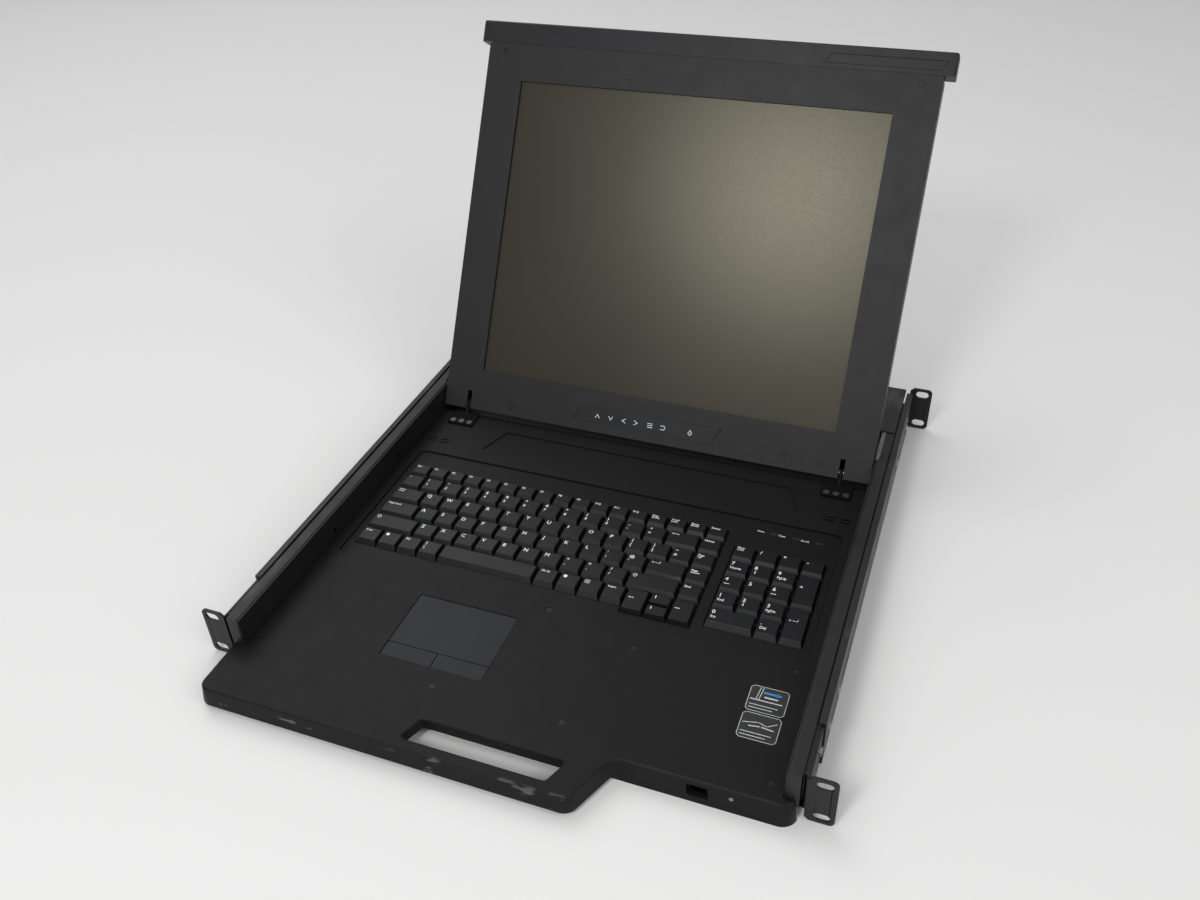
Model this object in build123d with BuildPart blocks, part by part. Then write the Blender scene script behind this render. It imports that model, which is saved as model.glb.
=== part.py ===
from build123d import *

import os
from math import cos, radians, sin

os.makedirs("parts", exist_ok=True)

# Rackmount console drawer, one rack unit high, millimetres.
# X points right, Y to the back of the rack and Z up. The origin is the centre of the four
# mounting slots in the front ears, on the front face of the ears.

# Rack standard
rack_unit = 44.45
ear_overall_width = 482.6
slot_from_edge = 8.75
slot_spacing_z = 31.75
slot_length = 11.4
slot_height = 7.0
floor_z = -rack_unit / 2

# Ears and their brackets
ear_height = 43.6
ear_thickness = 2.0
ear_corner = 4.0
bracket_sheet = 1.5
bracket_reach = 110.0
bracket_half_height = 18.2
screw_head_r = 3.5
head_sides = 12

# Rails that stay in the rack
rail_from_edge = 17.1
rail_sheet = 1.5
rail_strip = 5.2
rail_low_z = floor_z + 2.0
rail_high_z = floor_z + 43.6
rail_start_y = 45.0
rail_end_gap = 8.8
screw_head_proud = 0.8

# Telescopic slides
slide_sheet = 1.2
slide_outer_half = 17.6
slide_outer_depth = 8.8
slide_middle_depth = 5.6
slide_inner_depth = 5.6
slide_start_y = 8.0
slide_from_rear = 21.0
slide_step = 3.0
slide_side_gap = 1.4
slide_room = 11.3
ball_r = 1.5
ball_play = 0.1
ball_latitudes = (-70, -25, 25, 70)
cage_sheet = 0.6
cage_width = 3.6
cage_length = 200.0
outer_cage_y = 112.0
inner_cage_y = 132.0
balls_per_strip = 2

# Tray of folded sheet
tray_sheet = 1.2
tray_front_y = -1.0
tray_rear_y = 461.0
rear_ear_clear = 2.8
pan_low_z = floor_z + 1.0
tray_wall_top_z = floor_z + 41.8
side_cover_sheet = 1.2
flange_rail_gap = 1.4
flange_top_z = floor_z + 42.6
return_low_z = floor_z + 12.0
port_cut_clear = 1.0
standoff_r = 4.0
keyboard_standoff_pitch = (180.0, 100.0)
riser_size = (22.0, 14.0)
riser_outward = 3.0
bend_r = 1.0

# Rear compartment
rear_depth = 74.0
rear_cover_sheet = 1.0
corner_block_length = 42.0
corner_block_gap = 0.5
corner_block_half = 1.8
corner_block_nose_r = 9.0

# Palm deck with its handle
deck_top_z = floor_z + 19.2
deck_sheet = 2.5
well_length = 57.0
deck_gap = 0.5
front_side_gap = 5.7
front_back_y = -2.2
handle_front_y = -49.0
handle_right_x = 76.0
handle_root_x = 93.0
fascia_front_y = -8.5
handle_low_z = floor_z + 4.2
handle_slab_low_z = floor_z + 9.2
front_draft = 8.0
handle_wall = 5.0
handle_hole_back_y = -21.0
handle_hole_front_y = -40.5
handle_hole_left_x = -45.0
handle_hole_right_x = 65.0
handle_hole_slant = 8.0
deck_screw_r = 3.0
deck_screw_depth = 1.0

# Recess behind the keyboard and the air slots
recess_from_rear = 18.0
recess_length = 31.0
recess_left_x = -131.0
recess_right_x = 142.0
recess_slant = 12.0
recess_depth = 1.2
vent_length = 9.4
vent_width = 1.5
vent_x = (182.3, 195.2)
vents_from_rear = (51.0, 46.7)

# Keyboard
key_unit = 19.05
key_gap = 0.9
key_top_z = floor_z + 21.6
key_height = 4.6
key_travel = 2.5
key_side_slope = 1.4
key_back_slope = 0.9
key_front_slope = 3.4
main_left_x = -189.0
main_front_y = 128.4
function_depth = 16.4
arrow_front_y = 122.8
arrow_front_slope = 1.6
numpad_left_x = 115.3
numpad_front_y = 128.4
frame_left_x = -196.0
frame_right_x = 197.0
frame_front_y = 113.0
frame_back_y = 262.0
frame_corner = 6.0
frame_gap = 0.4
frame_top_z = floor_z + 17.8
frame_sheet = 1.6
frame_key_gap = 0.2
guide_sheet = 1.4
guide_clear = 0.3
stem_side = 5.0
stem_play = 0.15
stem_below_guide = 0.4
dome_gap = 0.2
dome_height = 2.8
dome_base_r = 5.0
dome_tip_r = 2.6
membrane_sheet = 0.4
base_plate_sheet = 1.0

# Touchpad
pad_left_x = -104.5
pad_right_x = -20.5
pad_back_y = 89.5
pad_seam_y = 37.8
pad_front_y = 23.2
pad_gap = 0.4
pad_sink = 0.4
pad_button_sheet = 2.0
pad_button_travel = 0.5
pad_board_sheet = 1.6
pad_board_edge = 7.5
pad_module_height = 3.2

# Front port and lights
port_x = 152.2
port_z = floor_z + 10.0
port_opening_width = 15.0
port_opening_height = 9.4
port_width = 13.8
port_height = 7.2
port_cavity_width = 12.2
port_cavity_height = 5.0
port_front_y = -7.5
port_back_y = 8.0
front_light_x = 175.2
front_light_z = floor_z + 12.0
light_r = 1.5
board_sheet = 1.6
lock_light_x = (142.0, 161.0, 180.0)
lock_light_y = 248.5
lock_light_size = (6.0, 1.8)

# Display, measured on its own face plane
display_lean = 30.0
screen_from_rear = 111.5
screen_bottom_z = floor_z + 59.0
screen_width = 340.5
screen_height = 272.5
display_side_gap = 1.2
display_low_u = -39.0
closed_front_gap = 2.77
display_depth = 21.0
bezel_wall = 2.2
bezel_depth = 9.0
bezel_corner = 3.0
rear_shell_sheet = 1.2
hinge_u = -34.0
hinge_behind_face = 5.0
hinge_from_side = 25.3
hinge_slot_width = 4.5
hinge_slot_top_u = -21.5
leaf_sheet = 3.0
leaf_eye_r = 4.4
hinge_pin_r = 2.4
hinge_play = 0.3
leaf_foot_sheet = 2.0
leaf_foot_half = 13.0
leaf_foot_length = 21.0
bar_side_step = 8.7
bar_height = 19.4
bar_gap = 0.2
bar_wall = 2.5
module_width = 358.0
module_height = 296.0
glass_sheet = 1.2
strip_depth = 0.8
hinge_pin_half = 6.5
cheek_sheet = 2.2
cheek_gap = 0.4

# Rear panel, connectors and boards
tiny = 0.01
rear_panel_sheet = 1.2
panel_gap = 0.1
connector_z = floor_z + 18.0
connector_play = 0.05
collar_sheet = 1.5
socket_depth = 9.0
power_x = -150.0
power_width = 27.0
power_height = 20.0
power_depth = 22.0
power_border = 2.5
power_wall = 1.6
video_x = 60.0
video_width = 30.0
video_height = 11.0
video_depth = 12.0
video_border = 2.5
video_wall = 1.0
controller_standoff = 5.0
controller_left_x = -110.0
controller_right_x = 30.0
controller_from_rear = 13.0
controller_depth = 53.0
board_post_from_edge = 6.0
chip_places = ((-40.0, -1.5), (0.0, 3.5), (45.0, -3.5))
chip_side = 14.0
chip_height = 2.0
cable_hole_x = 120.0
cable_hole_z = floor_z + 24.0
cable_hole_width = 20.0
cable_hole_height = 10.0

# Small shapes of the front body
front_corner_r = 9.0
front_chamfer = 1.2
chamfer_angle = 45.0
fascia_under_y = -11.0
handle_hole_corner_r = 3.5
deck_hole_chamfer = 0.6
light_play = 0.1
light_front_y = -9.6
light_block_back_y = 5.0
port_back_wall = 1.5
port_tongue_back = 2.0
port_tongue_height = 1.8
port_tongue_side_gap = 1.0
board_post_inset = 5.0
front_board_left_x = 138.0
front_board_right_x = 186.0
front_board_front_y = 0.6
front_board_back_y = 30.0
frame_rim = 2.5
pad_button_chamfer = 0.3
pad_switch_r = 2.5
pad_switch_height = 0.6
leaf_upright_length = 4.2
leaf_screw_pitch = 8.5
leaf_screw_from_front = 5.0
screw_head_height = 0.8
wall_screw_height = 0.6
wall_screw_r = 2.0
wall_screw_places = ((129.6, floor_z + 25.5), (240.0, floor_z + 25.5))

# Small shapes of the display
strip_left_x = -64.7
strip_right_x = 70.5
strip_high_u = -15.4
strip_low_u = -30.2
strip_slant = 7.9
strip_play = 0.2
strip_sink = 0.3
strip_corner_r = 3.0
insert_left_x = 111.0
insert_right_x = 207.5
insert_height = 7.8
insert_from_edge = 4.1
insert_slant = 4.0
insert_depth = 0.8
bezel_opening_taper = -35.0
bezel_screw_r = 2.5
top_screw_from_edge = 7.6
top_screw_x = (-189.5, 0.0, 189.5)
bar_corner_r = 2.0
bar_chamfer = 1.2
board_centre_u = 100.0
display_board_width = 140.0
display_board_height = 90.0
display_board_standoff = 3.5
backlight_depth = 8.5
panel_bracket_width = 14.0
panel_bracket_height = 18.0
panel_bracket_reach = 12.0
panel_post_out = 6.0
bracket_pitch_u = 220.0
control_board_low_u = -34.0
control_board_high_u = -14.0
cheek_high_u = 17.0
shell_slot_depth = 4.0
hinge_slot_overrun = 1.0

# Values worked out from the ones above
ear_half_width = ear_overall_width / 2
slot_spacing_x = ear_overall_width - 2 * slot_from_edge
ears_apart = tray_rear_y + rear_ear_clear
rail_outer_x = ear_half_width - rail_from_edge
rail_end_y = ears_apart - rail_end_gap
rack_opening_half = rail_outer_x + screw_head_proud
bracket_outer_x = rail_outer_x - rail_sheet
bracket_inner_x = bracket_outer_x - bracket_sheet
slide_length = tray_rear_y - slide_from_rear - slide_start_y
ball_lane = 2 * (ball_r + ball_play)
slide_middle_half = slide_outer_half - slide_sheet - ball_lane
slide_inner_half = slide_middle_half - slide_sheet - ball_lane
slide_inner_x = bracket_inner_x - slide_room
side_cover_inner_x = slide_inner_x - side_cover_sheet
tray_inner_x = side_cover_inner_x - tray_sheet
flange_edge_x = rail_outer_x - rail_strip - flange_rail_gap
rear_cover_front_y = tray_rear_y - rear_depth
corner_block_front_y = rear_cover_front_y - corner_block_length
corner_block_low_z = slide_inner_half + corner_block_gap
deck_rear_y = rear_cover_front_y - well_length
front_half_width = bracket_inner_x - front_side_gap
recess_back_y = deck_rear_y - recess_from_rear
recess_front_y = recess_back_y - recess_length
vent_y = [deck_rear_y - vent_from_rear for vent_from_rear in vents_from_rear]
slide_middle_x = bracket_inner_x - slide_sheet - slide_side_gap
screen_bottom_y = tray_rear_y - screen_from_rear
display_half_width = tray_inner_x - display_side_gap
bar_half_width = display_half_width + bar_side_step
hinge_x = display_half_width - hinge_from_side
leaf_foot_front_y = deck_rear_y - leaf_foot_length
leaf_front_y = deck_rear_y - leaf_upright_length
leaf_screw_y = leaf_foot_front_y + leaf_screw_from_front
leaf_screw_places = [(hinge_x + n * leaf_screw_pitch, leaf_screw_y) for n in (-1, 0, 1)]
controller_back_y = tray_rear_y - controller_from_rear
controller_front_y = controller_back_y - controller_depth
controller_x = (controller_left_x + controller_right_x) / 2
controller_y = (controller_front_y + controller_back_y) / 2
pan_top_z = pan_low_z + tray_sheet
deck_low_z = deck_top_z - deck_sheet
frame_low_z = frame_top_z - frame_sheet
key_skirt_z = key_top_z - key_height
guide_top_z = key_skirt_z - key_travel - guide_clear
guide_low_z = guide_top_z - guide_sheet
stem_low_z = guide_low_z - stem_below_guide
membrane_top_z = stem_low_z - dome_gap - dome_height
base_plate_top_z = membrane_top_z - membrane_sheet
base_plate_low_z = base_plate_top_z - base_plate_sheet
pad_top_z = deck_top_z - pad_sink
pad_board_top_z = pad_top_z - pad_module_height
port_board_top_z = port_z - port_height / 2
display_face = Plane(
    origin=(0, screen_bottom_y, screen_bottom_z),
    x_dir=(1, 0, 0),
    z_dir=(0, -cos(radians(display_lean)), sin(radians(display_lean))),
)
hinge_centre = display_face.from_local_coords(Vector(0, hinge_u, -hinge_behind_face))
display_high_u = hinge_centre.Y + closed_front_gap + hinge_u
bar_high_u = display_high_u + bar_height
insert_low_u = display_high_u + insert_from_edge
insert_high_u = insert_low_u + insert_height
top_screw_u = display_high_u - top_screw_from_edge

deck_screw_places = (
    (-199.3, 6.0),
    (-51.8, 7.6),
    (49.3, 7.6),
    (197.4, 6.0),
    (-1.3, 106.0),
    (73.8, 89.4),
    (192.0, 105.0),
    (-199.0, 105.0),
)
low_screw_places = ((129.0, -28.0), (162.0, -29.0), (-135.0, -30.5))
bezel_screw_places = [(x, top_screw_u) for x in top_screw_x] + list(low_screw_places)


def across(y):
    """Plane at depth y that faces the front, with X to the right and Z up."""
    return Plane(origin=(0, y, 0), x_dir=(1, 0, 0), z_dir=(0, -1, 0))


def rect(low_a, high_a, low_b, high_b, mode=Mode.ADD):
    """Rectangle between two pairs of limits on the sketch's own axes."""
    with Locations(((low_a + high_a) / 2, (low_b + high_b) / 2)):
        Rectangle(high_a - low_a, high_b - low_b, mode=mode)


def channel(back_x, open_x, low_z, high_z, sheet):
    """Section of folded sheet with its web at back_x and its two flanges towards open_x."""
    side = 1 if back_x > open_x else -1
    rect(min(back_x, open_x), max(back_x, open_x), low_z, high_z)
    inner = back_x - side * sheet
    rect(min(inner, open_x), max(inner, open_x), low_z + sheet, high_z - sheet, mode=Mode.SUBTRACT)


def save(shape, name):
    """Labels a finished piece and writes it under its own name."""
    shape.label = name
    export_step(shape, f"parts/{name}.step")


def mirrored(right):
    """Mirror image on the left of a right-hand piece."""
    with BuildPart() as left:
        mirror(right.part, about=Plane.YZ)
    return left.part


def save_pair(right, name):
    """Writes a right-hand piece and its mirror image as two nodes."""
    save(right.part, f"{name}_right")
    save(mirrored(right), f"{name}_left")


def save_both(right, name):
    """Writes a right-hand piece and its mirror image as one node."""
    save(Compound(children=[*right.part.solids(), *mirrored(right).solids()]), name)


# Rack rails: channels that stay in the rack
with BuildPart() as rack_rail:
    with BuildSketch(across(rail_start_y)) as rail_section:
        channel(rail_outer_x, rail_outer_x - rail_strip, rail_low_z, rail_high_z, rail_sheet)
        fillet(rail_section.vertices().group_by(Axis.X)[-1], bend_r)
    extrude(amount=rail_start_y - rail_end_y)
save_both(rack_rail, "rack_rails")

# Slide members: three channels nested in each other on rows of balls
with BuildPart() as slide_outer:
    with BuildSketch(across(slide_start_y - slide_step)):
        channel(
            bracket_inner_x,
            bracket_inner_x - slide_outer_depth,
            -slide_outer_half,
            slide_outer_half,
            slide_sheet,
        )
    extrude(amount=-slide_length - 2 * slide_step)
save_both(slide_outer, "slide_outer_members")

with BuildPart() as slide_middle:
    with BuildSketch(across(slide_start_y)):
        channel(
            slide_middle_x,
            slide_middle_x - slide_middle_depth,
            -slide_middle_half,
            slide_middle_half,
            slide_sheet,
        )
    extrude(amount=-slide_length)
save_both(slide_middle, "slide_middle_members")

with BuildPart() as slide_inner:
    with BuildSketch(across(slide_start_y + slide_step)):
        channel(
            slide_inner_x,
            slide_inner_x + slide_inner_depth,
            -slide_inner_half,
            slide_inner_half,
            slide_sheet,
        )
    extrude(amount=-slide_length + slide_step)
save_both(slide_inner, "slide_inner_members")


def ball(x, y, z):
    """Faceted ball."""
    with BuildPart() as piece:
        for latitude in ball_latitudes:
            with BuildSketch(Plane.XY.offset(z + ball_r * sin(radians(latitude)))):
                with Locations((x, y)):
                    RegularPolygon(radius=ball_r * cos(radians(latitude)), side_count=8)
        loft(ruled=True)
    return piece.part.solids()


def ball_cages(start_y, lane_x, lane_z):
    """Strips above and below the slide's middle, on both sides, each with its row of balls."""
    pitch = cage_length / balls_per_strip
    places = [(lane_x, start_y + pitch * (n + 0.5)) for n in range(balls_per_strip)]
    with BuildPart() as strip:
        with BuildSketch(Plane.XY.offset(lane_z - cage_sheet / 2)):
            rect(lane_x - cage_width / 2, lane_x + cage_width / 2, start_y, start_y + cage_length)
            with Locations(*places):
                RegularPolygon(radius=ball_r + ball_play, side_count=8, mode=Mode.SUBTRACT)
        extrude(amount=cage_sheet)
        mirror(about=Plane.XY)
        mirror(about=Plane.YZ)
    balls = []
    for x, y in places:
        for at_x, at_z in ((x, lane_z), (x, -lane_z), (-x, lane_z), (-x, -lane_z)):
            balls.extend(ball(at_x, y, at_z))
    return Compound(children=[*strip.part.solids(), *balls])


outer_lane_x = (slide_middle_x + bracket_inner_x - slide_outer_depth) / 2
outer_lane_z = slide_outer_half - slide_sheet - ball_lane / 2
save(ball_cages(outer_cage_y, outer_lane_x, outer_lane_z), "outer_ball_cages")

inner_lane_x = (slide_inner_x + slide_inner_depth + slide_middle_x - slide_middle_depth) / 2
inner_lane_z = slide_middle_half - slide_sheet - ball_lane / 2
save(ball_cages(inner_cage_y, inner_lane_x, inner_lane_z), "inner_ball_cages")


def bracket(ear_y, flange_low_y, flange_high_y):
    """Ear with two mounting slots and the flange that holds the rail."""
    with BuildPart() as piece:
        with BuildSketch(across(ear_y)) as ear:
            rect(bracket_inner_x, ear_half_width, -ear_height / 2, ear_height / 2)
            fillet(ear.vertices().group_by(Axis.X)[-1], ear_corner)
            chamfer(ear.vertices().group_by(Axis.X)[0], ear_corner - bracket_sheet / 2)
            with Locations((slot_spacing_x / 2, slot_spacing_z / 2), (slot_spacing_x / 2, -slot_spacing_z / 2)):
                SlotOverall(slot_length, slot_height, mode=Mode.SUBTRACT)
        extrude(amount=-ear_thickness)
        with BuildSketch(Plane.YZ.offset(bracket_inner_x)):
            rect(flange_low_y, flange_high_y, -bracket_half_height, bracket_half_height)
        extrude(amount=bracket_sheet)
    return piece


save_pair(bracket(0, 0, bracket_reach), "front_bracket")
rear_ear_back_y = ears_apart + ear_thickness
save_both(bracket(ears_apart, rear_ear_back_y - bracket_reach, rear_ear_back_y), "rear_brackets")

# Screws of the brackets, two of them in the open stretch in front of the rail
open_screw_places = ((20.0, -4.0), (36.0, 4.0))
rail_screw_places = ((62.0, 0.0), (95.0, 0.0), (ears_apart - 91.8, 0.0), (ears_apart - 33.8, 0.0))
with BuildPart() as bracket_screws:
    with BuildSketch(Plane.YZ.offset(bracket_outer_x)):
        with Locations(*open_screw_places):
            RegularPolygon(radius=screw_head_r, side_count=head_sides)
    extrude(amount=rack_opening_half - bracket_outer_x - bracket_sheet / 2)
    with BuildSketch(Plane.YZ.offset(rail_outer_x)):
        with Locations(*rail_screw_places):
            RegularPolygon(radius=screw_head_r, side_count=head_sides)
    extrude(amount=rack_opening_half - rail_outer_x)
    mirror(about=Plane.YZ)
save(bracket_screws.part, "bracket_screws")

# Base pan: floor sheet of the tray
pan_half_width = tray_inner_x + tray_sheet
pan_front_wall_z = deck_low_z - deck_gap
pan_block_cut_front_y = corner_block_front_y - deck_gap
with BuildPart() as base_pan:
    with BuildSketch(Plane.XY.offset(pan_low_z)):
        rect(-pan_half_width, pan_half_width, tray_front_y, tray_rear_y)
    extrude(amount=tray_sheet)
save(base_pan.part, "base_pan")

# Side walls of the tray and the low front wall between them
port_cut_half = port_opening_width / 2 + port_cut_clear
port_cut_low_z = port_board_top_z - board_sheet
with BuildPart() as tray_walls:
    with BuildSketch(across(tray_front_y)):
        rect(tray_inner_x, pan_half_width, pan_top_z, tray_wall_top_z)
        rect(-pan_half_width, -tray_inner_x, pan_top_z, tray_wall_top_z)
    extrude(amount=tray_front_y - tray_rear_y)
    with BuildSketch(Plane.YZ.offset(-pan_half_width)):
        rect(pan_block_cut_front_y, rear_cover_front_y, corner_block_low_z, tray_wall_top_z)
    extrude(amount=2 * pan_half_width, mode=Mode.SUBTRACT)
    with BuildSketch(across(tray_front_y)):
        rect(-tray_inner_x + panel_gap, tray_inner_x - panel_gap, pan_top_z, pan_front_wall_z)
        rect(
            port_x - port_cut_half,
            port_x + port_cut_half,
            port_cut_low_z,
            port_z + port_opening_height / 2,
            mode=Mode.SUBTRACT,
        )
        rect(
            front_light_x - 2 * light_r,
            front_light_x + 2 * light_r,
            port_cut_low_z,
            front_light_z + 2 * light_r,
            mode=Mode.SUBTRACT,
        )
    extrude(amount=-tray_sheet)
save(tray_walls.part, "tray_walls")

# Hexagonal standoffs under the deck and the keyboard, and risers under the hinge feet
frame_centre = ((frame_left_x + frame_right_x) / 2, (frame_front_y + frame_back_y) / 2)
riser_y = (leaf_foot_front_y + deck_rear_y) / 2
with BuildPart() as tray_standoffs:
    with BuildSketch(Plane.XY.offset(pan_top_z)):
        with Locations(*deck_screw_places):
            RegularPolygon(radius=standoff_r, side_count=6)
        with Locations(*[(side * (hinge_x + riser_outward), riser_y) for side in (-1, 1)]):
            Rectangle(*riser_size)
    extrude(amount=deck_low_z - pan_top_z)
    with BuildSketch(Plane.XY.offset(pan_top_z)):
        with Locations(frame_centre):
            with GridLocations(*keyboard_standoff_pitch, 3, 2):
                RegularPolygon(radius=standoff_r, side_count=6)
    extrude(amount=base_plate_low_z - pan_top_z)
save(tray_standoffs.part, "tray_standoffs")

# Side covers: angles that carry the slides and close their tops and front ends
with BuildPart() as side_cover:
    with BuildSketch(across(tray_front_y - side_cover_sheet / 5)) as side_section:
        rect(side_cover_inner_x, slide_inner_x, pan_low_z, flange_top_z)
        rect(side_cover_inner_x, flange_edge_x, flange_top_z - side_cover_sheet, flange_top_z)
        fillet(side_section.vertices().sort_by(Axis.Y)[-2:].sort_by(Axis.X)[0], bend_r)
    extrude(amount=tray_front_y - tray_rear_y)
    with BuildSketch(across(tray_front_y - side_cover_sheet / 5)) as side_return:
        rect(slide_inner_x, flange_edge_x, return_low_z, flange_top_z)
        fillet(side_return.vertices().group_by(Axis.X)[-1].sort_by(Axis.Y)[-1], 2 * bend_r)
    extrude(amount=-side_cover_sheet)
    with BuildSketch(Plane.YZ.offset(side_cover_inner_x)):
        rect(pan_block_cut_front_y, rear_cover_front_y, corner_block_low_z, flange_top_z)
    extrude(amount=corner_block_half, mode=Mode.SUBTRACT)
save_pair(side_cover, "side_cover")

# Corner blocks with rounded noses beside the display's foot
corner_block_x = side_cover_inner_x
with BuildPart() as corner_blocks:
    with BuildSketch(Plane.YZ.offset(corner_block_x - corner_block_half)) as block_side:
        rect(corner_block_front_y, rear_cover_front_y, corner_block_low_z, flange_top_z)
        fillet(block_side.vertices().group_by(Axis.X)[0].sort_by(Axis.Y)[-1], corner_block_nose_r)
    extrude(amount=2 * corner_block_half - ball_play)
    mirror(about=Plane.YZ)
save(corner_blocks.part, "corner_blocks")

# Rear cover: top sheet of the rear compartment with its folded front wall
with BuildPart() as rear_cover:
    with BuildSketch(Plane.YZ.offset(-tray_inner_x + deck_gap)):
        rect(rear_cover_front_y, rear_cover_front_y + rear_cover_sheet, pan_top_z, flange_top_z)
    extrude(amount=2 * (tray_inner_x - deck_gap))
    with BuildSketch(Plane.XY.offset(flange_top_z)) as cover_top:
        rect(-flange_edge_x, flange_edge_x, rear_cover_front_y, tray_rear_y)
    extrude(amount=rear_cover_sheet)
    with BuildSketch(Plane.XZ.offset(-rear_cover_front_y - rear_cover_sheet)):
        with Locations((-cable_hole_x, cable_hole_z), (cable_hole_x, cable_hole_z)):
            SlotOverall(cable_hole_width, cable_hole_height)
    extrude(amount=2 * rear_cover_sheet, mode=Mode.SUBTRACT)
save(rear_cover.part, "rear_cover")

# Rear panel with the cut-outs of its connectors
rear_panel_front_y = tray_rear_y - rear_panel_sheet
with BuildPart() as rear_panel:
    with BuildSketch(across(rear_panel_front_y)):
        rect(-tray_inner_x + panel_gap, tray_inner_x - panel_gap, pan_top_z, flange_top_z)
        with Locations((power_x, connector_z)):
            Rectangle(power_width, power_height, mode=Mode.SUBTRACT)
        with Locations((video_x, connector_z)):
            Rectangle(video_width, video_height, mode=Mode.SUBTRACT)
    extrude(amount=-rear_panel_sheet)
save(rear_panel.part, "rear_panel")


def connector(x, width, height, depth, border, wall, name):
    """Shell through the rear panel with a collar outside and a socket open to the back."""
    with BuildPart() as shell:
        with BuildSketch(across(rear_panel_front_y - depth)):
            with Locations((x, connector_z)):
                RectangleRounded(width - 2 * connector_play, height - 2 * connector_play, bend_r)
        extrude(amount=-depth - rear_panel_sheet - collar_sheet)
        with BuildSketch(across(tray_rear_y)):
            with Locations((x, connector_z)):
                RectangleRounded(width + 2 * border, height + 2 * border, bend_r)
        extrude(amount=-collar_sheet)
        with BuildSketch(across(tray_rear_y + collar_sheet - socket_depth)):
            with Locations((x, connector_z)):
                RectangleRounded(width - 2 * wall, height - 2 * wall, bend_r)
        extrude(amount=-socket_depth, mode=Mode.SUBTRACT)
    save(shell.part, name)


connector(power_x, power_width, power_height, power_depth, power_border, power_wall, "power_inlet")
connector(video_x, video_width, video_height, video_depth, video_border, video_wall, "signal_connector")

# Controller board on its standoffs in the rear compartment
controller_low_z = pan_top_z + controller_standoff
controller_post_pitch_x = controller_right_x - controller_left_x - 2 * board_post_from_edge
controller_post_pitch_y = controller_depth - 2 * board_post_from_edge
with BuildPart() as controller_board:
    with BuildSketch(Plane.XY.offset(controller_low_z)):
        rect(controller_left_x, controller_right_x, controller_front_y, controller_back_y)
    extrude(amount=board_sheet)
    with BuildSketch(Plane.XY.offset(controller_low_z + board_sheet)):
        with Locations((controller_x, controller_y)):
            with Locations(*chip_places):
                Rectangle(chip_side, chip_side)
    extrude(amount=chip_height)
    with BuildSketch(Plane.XY.offset(pan_top_z)):
        with Locations((controller_x, controller_y)):
            with GridLocations(controller_post_pitch_x, controller_post_pitch_y, 2, 2):
                RegularPolygon(radius=screw_head_r, side_count=6)
    extrude(amount=controller_standoff)
save(controller_board.part, "controller_board")

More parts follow.
